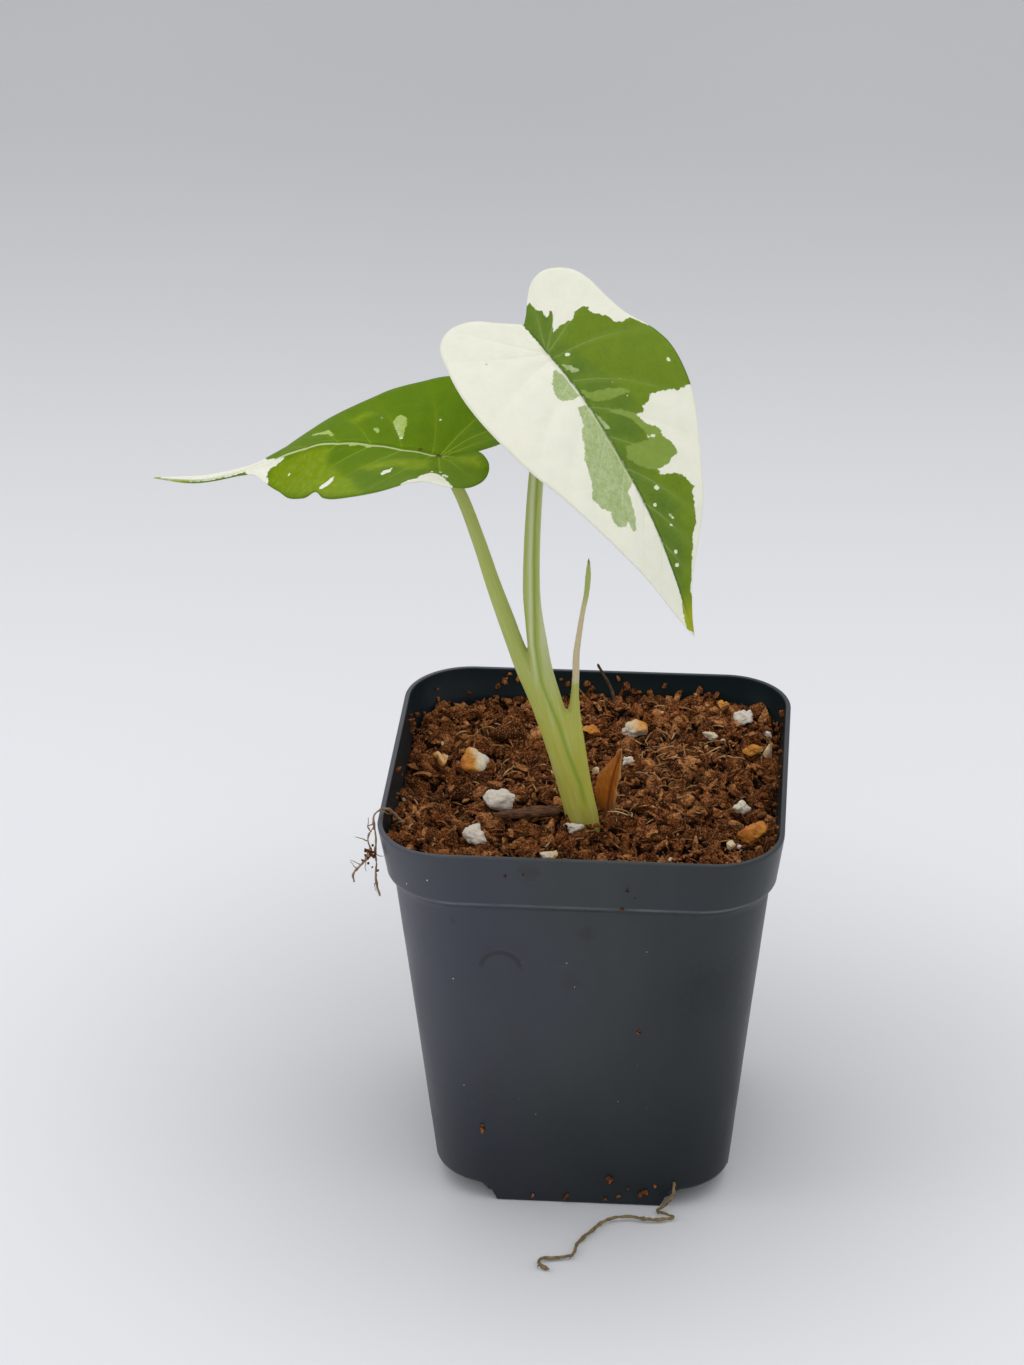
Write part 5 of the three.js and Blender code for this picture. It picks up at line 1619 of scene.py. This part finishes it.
def blade_look(name, green, dark, light, grey, rib_side, rib_width, blend):
    """Leaf skin: cream, green and thinly pigmented patches with ragged edges, pale veins. The midrib's
    pale band is rib_width wide, and rib_side of it lies on the right-hand half. Light patches blend in
    over blend millimetres."""
    look = Look(name)
    leaf = settings("leaf")
    where = look.join(look.value("flat_x"), look.value("flat_y"), 0)

    def on_leaf(size, detail, roughness, seed):
        return look.cloud(size, detail=detail, roughness=roughness, where=where, scale_by=1, seed=seed)

    ragged = look.times(look.plus(on_leaf(0.8, 5, 0.75, 1), -0.5), 1.5)

    def patch(label, softness=0.06, shift=0.0):
        spread = look.plus(look.value(label), ragged)
        return look.ease(spread, -softness - shift, softness - shift)

    mottle = on_leaf(3.0, 4, 0.6, 2)
    fine = on_leaf(0.45, 3, 0.5, 4)
    streaks = on_leaf(1.3, 4, 0.6, 9)
    net = look.cells(0.9, feature="DISTANCE_TO_EDGE", where=where, scale_by=1)
    flat_x, flat_y = look.value("flat_x"), look.value("flat_y")
    vein = look.times(look.ease(look.value("vein"), 0.22, 0.03), look.ease(look.value("vein_part"), 1, 0.3))
    beside_vein = look.ease(look.value("vein"), 1.2, 0.1)
    rib_end = look.times(look.ease(flat_x, -3, 0.5), look.ease(flat_x, 60, 30))
    rib_gap = look.gap(flat_y, -rib_side * rib_width)
    rib = look.times(look.ease(rib_gap, rib_width * 0.6, rib_width * 0.4), rib_end)
    crease = look.times(look.ease(look.gap(flat_y, 0.18), 0.3, 0.1), look.ease(flat_x, -7, -2))

    cream = look.mix(look.ease(mottle, 0.3, 0.75, 0, 0.6), leaf.cream, paint(219, 220, 203))
    cream = look.mix(look.times(vein, 0.22), cream, paint(190, 200, 150))
    deep = look.mix(look.times(patch("dark", 1.2), 0.5), green, dark)
    fresh = tuple(min(1, 1.3 * part) for part in green)
    deep = look.mix(look.ease(mottle, 0.35, 0.75, 0.0, 0.4), deep, fresh)
    deep = look.mix(look.ease(streaks, 0.5, 0.25, 0, 0.35), deep, dark)
    deep = look.mix(look.times(look.ease(net, 0.1, 0.02), 0.08), deep, light)
    deep = look.mix(look.times(beside_vein, 0.16), deep, light)
    deep = look.mix(look.times(vein, 0.4), deep, grey)
    skin = look.mix(patch("green"), cream, deep)
    light_tone = look.mix(look.ease(streaks, 0.4, 0.7, 0, 0.28), light, grey)
    light_share = look.times(patch("light", blend), patch("green"))
    skin = look.mix(look.times(light_share, 0.9), skin, light_tone)
    grey_tone = look.mix(look.ease(streaks, 0.35, 0.7, 0, 0.6), grey, paint(178, 192, 148))
    grey_tone = look.mix(look.times(vein, 0.6), grey_tone, paint(200, 208, 170))
    grey_tone = look.mix(look.ease(net, 0.1, 0.02, 0, 0.25), grey_tone, paint(200, 208, 170))
    skin = look.mix(look.times(patch("pale", 0.1), 0.95), skin, grey_tone)
    dots = look.plus(look.value("specks"), look.times(ragged, 0.45))
    skin = look.mix(look.ease(dots, 0.0, 0.1, 0, 0.9), skin, paint(224, 230, 200))
    green_crease = look.times(crease, patch("green", 0.3, 0.5))
    skin = look.mix(look.times(green_crease, 0.6), skin, dark)
    rib_tone = look.mix(look.math("MAXIMUM", patch("green"), patch("pale")), cream, paint(200, 208, 156))
    skin = look.mix(look.times(rib, 0.75), skin, rib_tone)
    skin = look.mix(look.ease(look.value("flecks"), -0.15, 0.15, 0, 0.8), skin, paint(84, 62, 26))
    margin = look.ease(look.value("edge"), 0.35, 0.08)
    skin = look.mix(look.times(margin, look.times(patch("green"), 0.5)), skin, dark)
    tip = look.times(look.ease(flat_x, 49, 55), patch("green"))
    skin = look.mix(look.times(tip, 0.7), skin, paint(168, 172, 40))
    skin = look.mix(look.times(look.value("under"), 0.3), skin, paint(196, 206, 168))
    roughness = look.ease(fine, 0.3, 0.7, 0.36, 0.46)
    normal = look.bump(net, 0.015, look.bump(fine, 0.02, look.bump(mottle, 0.05)))
    return look.finish(base=skin, roughness=roughness, normal=normal, specular=0.05, subsurface=0.12,
                       subsurface_radius=(0.6 * MM, 0.9 * MM, 0.25 * MM), subsurface_scale=1.0)


def build_leaves():
    """Both blades, each with its own greens."""
    leaf = settings("leaf")
    right_look = blade_look("right_leaf_skin", leaf.right_green, leaf.right_dark, leaf.right_light,
                            leaf.grey_green, rib_side=0.5, rib_width=0.5, blend=0.12)
    left_look = blade_look("left_leaf_skin", leaf.left_green, leaf.left_dark, leaf.left_light,
                           leaf.left_grey, rib_side=0.0, rib_width=0.5, blend=1.1)
    build_blade("right_leaf_blade", "right_leaf", RIGHT_LEAF, RIGHT_MARKS, right_look, "cream_leaf")
    build_blade("left_leaf_blade", "left_leaf", LEFT_LEAF, LEFT_MARKS, left_look, "green_leaf")


# Dry sheath, bark, roots

# The dry sheath: height, left edge, fold and right edge, x and y
SHEATH_ROWS = [
    (73.4, 2.6, -6.3, 3.7, -7.4, 4.9, -6.9), (76.5, 2.2, -5.9, 3.9, -7.3, 5.3, -6.6),
    (79.6, 1.6, -5.4, 4.4, -7, 5.8, -6.1), (82.5, 2.8, -5.2, 4.9, -6.6, 6.2, -5.7),
    (85, 4.6, -5.3, 5.5, -6.1, 6.4, -5.5), (87.4, 5.8, -5.6, 6.1, -5.8, 6.4, -5.6),
]
SHEATH_THICKNESS = 0.28


def dry_sheath():
    """A papery scale, folded along its middle, with ragged sides."""
    steps, across = 60, 24
    rows = np.array(SHEATH_ROWS)
    places = np.linspace(0, 2, across)
    left, fold, right = (smooth_curve(rows[:, [first, first + 1, 0]], steps)[0] for first in (1, 3, 5))
    lines = []
    for start, end, bulge, parts in ((left, fold, -0.35, places[:across // 2]),
                                     (fold, right, 0.35, places[across // 2:] - 1)):
        for part in parts:
            line = start * (1 - part) + end * part
            lines.append(line + [0, bulge * math.sin(math.pi * part), 0])
    sheet = np.stack(lines, 1)
    fray = 0.35 * relief(sheet.reshape(-1, 3), 1.1, 8, 2).reshape(steps, across)
    side = np.abs(np.linspace(-1, 1, across)) ** 6
    sheet[..., 0] += fray * side
    normal = unit(np.cross(np.gradient(sheet, axis=0), np.gradient(sheet, axis=1)).reshape(-1, 3))
    flat = sheet.reshape(-1, 3)
    flat = flat + normal * (0.12 * relief(flat * [3, 3, 0.4], 1.2, 4))[:, None]
    front, back = flat + normal * SHEATH_THICKNESS / 2, flat - normal * SHEATH_THICKNESS / 2
    points, faces = close_blade(front, back, steps - 1, across)
    count = steps * across
    for row in (0, steps - 1):
        for column in range(across - 1):
            a, b = row * across + column, row * across + column + 1
            faces.append((a, b, b + count, a + count) if row == 0 else (b, a, a + count, b + count))
    return points, faces, {"across": np.tile(places / 2, 2 * steps)}


def sheath_look():
    """Papery dry leaf base, dark along its fold and at its foot."""
    look = Look("dry_sheath_skin")
    litter = settings("litter")
    grain = look.cloud(0.7, detail=5, roughness=0.7, stretch=(3, 3, 0.35))
    body = look.mix(look.ease(grain, 0.3, 0.7), litter.sheath, paint(196, 118, 26))
    fold_gap = look.gap(look.value("across"), 0.52)
    body = look.mix(look.ease(fold_gap, 1 / 9, 0.1 / 9, 0, 0.75), body, paint(96, 40, 16))
    body = look.mix(look.ease(look.value("across"), 0.8, 0.97, 0, 0.7), body, paint(198, 160, 106))
    body = look.mix(look.ease(look.position("Z"), 79, 75, 0, 0.6), body, paint(92, 54, 26))
    normal = look.bump(grain, 0.2)
    return look.finish(base=body, roughness=0.55, normal=normal, specular=0.35, subsurface=0.1,
                       subsurface_radius=(0.8 * MM, 0.4 * MM, 0.15 * MM), subsurface_scale=1.0)


def woody_look(name, tone, pale, grain, stretch=(1, 1, 1)):
    """Dry bark or root: streaked, matt and rough."""
    look = Look(name)
    streak = look.cloud(grain, detail=5, roughness=0.7, stretch=stretch)
    body = look.mix(look.ease(streak, 0.3, 0.75), tone, pale)
    pores = look.cloud(0.4, detail=3, seed=3)
    body = look.mix(look.ease(pores, 0.42, 0.28, 0, 0.6), body, paint(30, 20, 14))
    return look.finish(base=body, roughness=0.8, normal=look.bump(streak, 0.22), specular=0.3)


def hair_roots(seed, starts):
    """Fine hairs that wander off from their starts and stay above the floor."""
    random = np.random.default_rng(seed)
    heap = Heap()
    for place, direction, run, radius in starts:
        spot, heading = np.array(place, float), unit(np.array(direction, float))
        stops = [(*spot, radius)]
        for step in range(5):
            heading = unit(heading + random.normal(0, 0.35, 3))
            spot = spot + heading * run / 5
            spot[2] = max(spot[2], 0.5)
            stops.append((*spot, radius * (1 - 0.14 * step)))
        heap.add(*tube(stops, 14, 5))
    return heap


# Fine hairs on the roots: place, direction, length and radius
RIM_HAIRS = [
    ((-38.3, -24.8, 80.6), (-0.9, -0.2, 0.3), 3.6, 0.14),
    ((-38.6, -25.4, 79.2), (-0.6, -0.2, 0.9), 3.2, 0.12),
    ((-39.3, -25.4, 77.2), (-1, 0, 0.1), 2.6, 0.12),
    ((-40.6, -25.5, 72.2), (-0.9, 0.1, -0.5), 3.0, 0.11),
    ((-38.9, -25.6, 74.4), (-0.7, -0.3, -0.8), 3.6, 0.12),
    ((-41.3, -25.5, 71.3), (-0.9, 0, 0.35), 2.2, 0.1),
    ((-37.9, -25.6, 70.6), (0.1, -0.2, -1), 4.0, 0.1),
    ((-37.9, -25.6, 68.8), (-0.4, -0.2, -1), 3.0, 0.1),
    ((-38.0, -25.6, 76.2), (0.2, -0.4, -1), 3.6, 0.12),
    ((-37.2, -23.0, 82.4), (0.3, -0.5, 0.4), 2.2, 0.12),
]
FLOOR_HAIRS = [
    ((0.2, -46.2, 0.7), (-0.4, -0.8, 0.1), 1.8, 0.14), ((-5.9, -49.4, 0.7), (-1, -0.3, 0.2), 1.5, 0.15),
    ((12.1, -33.5, 1), (0.3, 1, 0.1), 1.6, 0.12), ((-2.2, -46.8, 0.7), (0.2, 1, 0.1), 1.3, 0.12),
    ((15.4, -31.4, 0.8), (1, -0.5, 0.1), 1.2, 0.14), ((-4.4, -50.4, 0.7), (0.9, -0.4, 0), 1.3, 0.14),
]
# Soil granules held by the rim root: x, y, z and size
RIM_GRANULES = [
    (-38.9, -25.6, 74.9, 1.5), (-39.6, -25.7, 75.4, 1.1), (-38.3, -25.7, 74.3, 1.2),
    (-39.3, -25.9, 74.0, 0.9), (-38.0, -26.0, 75.2, 0.9), (-39.9, -25.6, 74.3, 0.8),
    (-39.3, -25.8, 72.7, 0.7), (-38.6, -25.8, 71.8, 0.6), (-37.5, -26.2, 71.5, 0.8),
    (-38.5, -25.0, 76.1, 0.7), (-40.4, -25.6, 73.2, 0.6),
]


def tucked_in(points):
    """Draws the hidden end of the floor root towards the corner of the front foot."""
    x, y, z = points.T
    behind = np.maximum(y + 33, 0)
    return np.column_stack([x - 3.6 * smoothstep(y, -32.5, -27), y - 0.62 * behind, z])


def build_litter():
    """The dry sheath, the bark chip, the dry roots and what hangs on them."""
    litter = settings("litter")
    points, faces, values = dry_sheath()
    add_piece("dry_sheath_scale", points, faces, sheath_look(), "dry_leaf", ["dry_sheath"], values)

    points, faces = refined_node("bark_chip", 3)
    normals = vertex_normals(points, faces)
    ridges = 0.18 + 0.45 * relief(points * [0.3, 1.2, 1.2], 0.9, 6, 3)
    bark_look = woody_look("bark_chip_skin", litter.bark, paint(124, 80, 48), 0.75, (0.3, 2, 2))
    add_piece("bark_chip_wood", points + normals * ridges[:, None], faces, bark_look, "bark", ["bark_chip"])

    root_look = woody_look("dry_root_skin", litter.root, paint(168, 140, 108), 0.8)
    twig_look = woody_look("twig_skin", paint(60, 44, 34), paint(104, 80, 60), 0.8)
    thread_look = woody_look("floor_root_skin", paint(84, 76, 54), paint(150, 124, 82), 1.2)
    for node, look in (("floor_root", thread_look), ("rim_root", root_look), ("back_twig", twig_look)):
        points, faces = refined_node(node, 2)
        normals = vertex_normals(points, faces)
        knobs = 0.14 * relief(points, 1.1, 15, 2) - (0.13 if node == "floor_root" else 0.06)
        points = points + normals * knobs[:, None]
        if node == "floor_root":
            points = tucked_in(points)
        points[:, 2] = np.maximum(points[:, 2], 0.1)
        add_piece(node + "_strand", points, faces, look, "dry_root", [node])
    hair_roots(3, RIM_HAIRS).piece("rim_root_hairs", root_look, "dry_root")
    hair_roots(4, FLOOR_HAIRS).piece("floor_root_hairs", thread_look, "dry_root")

    random = np.random.default_rng(21)
    shapes = chip_shapes(8, 12, 1, 0.2, 700)
    heap = Heap()
    for x, y, z, size in RIM_GRANULES:
        points, faces = shapes[random.integers(len(shapes))]
        heap.add(points * size * 0.5 + [x, y, z], faces, tone=random.uniform(0, 0.4), depth=0.5)
    heap.piece("rim_root_granules", mix_look("granule", 0.6), "potting_mix", sharp=48)


# Stage

FLOOR_REACH = 6000
# Square soft lights: name, place, what it points at, side length and power, in metres and watts
LIGHTS = [
    ("top_light", (0.05, 0.15, 1.1), (0, 0, 0), 1.7, 6.0),
    ("front_light", (0.2, -1.3, 0.8), (0, 0, 0.1), 0.8, 1.2),
    ("left_light", (-1.1, -0.3, 0.6), (0, 0, 0.08), 0.6, 1.5),
    ("right_light", (1.1, 0.0, 0.6), (0, 0, 0.08), 0.7, 0.3),
]


def build_stage():
    """The floor with its painted shade far back and its painted shadow round the pot, the soft lights and
    the camera.
    """
    stage = settings("stage")
    corners = FLOOR_REACH * np.array([(-1, -1, 0), (1, -1, 0), (1, 1, 0), (-1, 1, 0)])
    floor = add_mesh("floor", corners, [(0, 1, 2, 3)])
    look = Look("matt_paper")
    depth = look.position("Y")
    # Painted shade: the floor darkens far behind the pot, away from the lights
    tone = look.mix(look.ease(depth, 80, 590), stage.floor, paint(177, 178, 181))
    tone = look.mix(look.ease(look.cloud(300, detail=2), 0.3, 0.7, 0, 0.1), tone, paint(206, 207, 210))
    # Painted shadow: a soft darker patch on the floor round and behind the pot
    near = look.distance(look.times(look.position("X"), 0.8), depth, (0, 22))
    tone = look.mix(look.ease(near, 120, 30, 0, 0.5), tone, paint(190, 191, 194))
    floor.data.materials.append(look.finish(base=tone, roughness=0.8, specular=0.2))

    world = bpy.data.worlds.new("soft_room")
    world.use_nodes = True
    sky = world.node_tree.nodes["Background"].inputs
    sky["Color"].default_value = (0.98, 0.99, 1.0, 1)
    sky["Strength"].default_value = 0.765
    bpy.context.scene.world = world
    for name, place, target, size, power in LIGHTS:
        lamp = bpy.data.lights.new(name, "AREA")
        lamp.shape = "SQUARE"
        lamp.size = size
        lamp.energy = power
        holder = add_object(name, lamp)
        holder.location = place
        holder.rotation_euler = (Vector(target) - Vector(place)).to_track_quat("-Z", "Y").to_euler()

    view = bpy.data.cameras.new("camera")
    view.lens = stage.lens
    view.clip_start = 0.01
    camera = add_object("camera", view)
    tipped = Matrix.Rotation(math.pi / 2 - stage.elevation, 4, "X")
    upright = Matrix.Rotation(stage.azimuth, 4, "Z") @ tipped
    camera.matrix_world = Matrix.Translation(stage.place) @ upright @ Matrix.Rotation(stage.roll, 4, "Z")
    bpy.context.scene.camera = camera
    bpy.context.scene.view_settings.view_transform = "Standard"


# Operators, panel and the run


class ALOCASIA_OT_pot(bpy.types.Operator):
    """Build the square nursery pot"""

    bl_idname = "alocasia.pot"
    bl_label = "Nursery Pot"
    bl_options = {"REGISTER", "UNDO"}

    def execute(self, context):
        build_pot()
        return {"FINISHED"}


class ALOCASIA_OT_soil(bpy.types.Operator):
    """Build the potting mix: its bed, chips, crumbs, fibres, shreds and loose grains"""

    bl_idname = "alocasia.soil"
    bl_label = "Potting Mix"
    bl_options = {"REGISTER", "UNDO"}

    def execute(self, context):
        build_soil()
        return {"FINISHED"}


class ALOCASIA_OT_grains(bpy.types.Operator):
    """Build the mineral grains that lie in the potting mix"""

    bl_idname = "alocasia.grains"
    bl_label = "Mineral Grains"
    bl_options = {"REGISTER", "UNDO"}

    def execute(self, context):
        build_grains()
        return {"FINISHED"}


class ALOCASIA_OT_stem(bpy.types.Operator):
    """Build the stem with its two stalks and its sheath point"""

    bl_idname = "alocasia.stem"
    bl_label = "Stem and Stalks"
    bl_options = {"REGISTER", "UNDO"}

    def execute(self, context):
        build_stem()
        return {"FINISHED"}


class ALOCASIA_OT_leaves(bpy.types.Operator):
    """Build the two variegated leaf blades"""

    bl_idname = "alocasia.leaves"
    bl_label = "Leaf Blades"
    bl_options = {"REGISTER", "UNDO"}

    def execute(self, context):
        build_leaves()
        return {"FINISHED"}


class ALOCASIA_OT_litter(bpy.types.Operator):
    """Build the dry sheath, the bark chip and the dry roots"""

    bl_idname = "alocasia.litter"
    bl_label = "Sheath, Bark and Roots"
    bl_options = {"REGISTER", "UNDO"}

    def execute(self, context):
        build_litter()
        return {"FINISHED"}


class ALOCASIA_OT_stage(bpy.types.Operator):
    """Set up the floor, the lights and the camera"""

    bl_idname = "alocasia.stage"
    bl_label = "Stage"
    bl_options = {"REGISTER", "UNDO"}

    def execute(self, context):
        build_stage()
        return {"FINISHED"}


OPERATORS = [ALOCASIA_OT_stage, ALOCASIA_OT_pot, ALOCASIA_OT_soil, ALOCASIA_OT_grains, ALOCASIA_OT_stem,
             ALOCASIA_OT_leaves, ALOCASIA_OT_litter]


class ALOCASIA_PT_panel(bpy.types.Panel):
    """Lists the building steps and their settings"""

    bl_idname = "ALOCASIA_PT_panel"
    bl_label = "Potted Alocasia"
    bl_space_type = "VIEW_3D"
    bl_region_type = "UI"
    bl_category = "Alocasia"

    def draw(self, context):
        for operator in OPERATORS:
            self.layout.operator(operator.bl_idname)
        for group, kind in SETTINGS.items():
            box = self.layout.box()
            box.label(text=group.title())
            for name in kind.__annotations__:
                box.prop(settings(group), name)


def register():
    for kind in [*SETTINGS.values(), *OPERATORS, ALOCASIA_PT_panel]:
        bpy.utils.register_class(kind)
    for group, kind in SETTINGS.items():
        setattr(bpy.types.Scene, "alocasia_" + group, PointerProperty(type=kind))


def unregister():
    for group in SETTINGS:
        delattr(bpy.types.Scene, "alocasia_" + group)
    for kind in reversed([*SETTINGS.values(), *OPERATORS, ALOCASIA_PT_panel]):
        bpy.utils.unregister_class(kind)


def main():
    register()
    for operator in OPERATORS:
        group, name = operator.bl_idname.split(".")
        getattr(getattr(bpy.ops, group), name)()


if __name__ == "__main__":
    main()
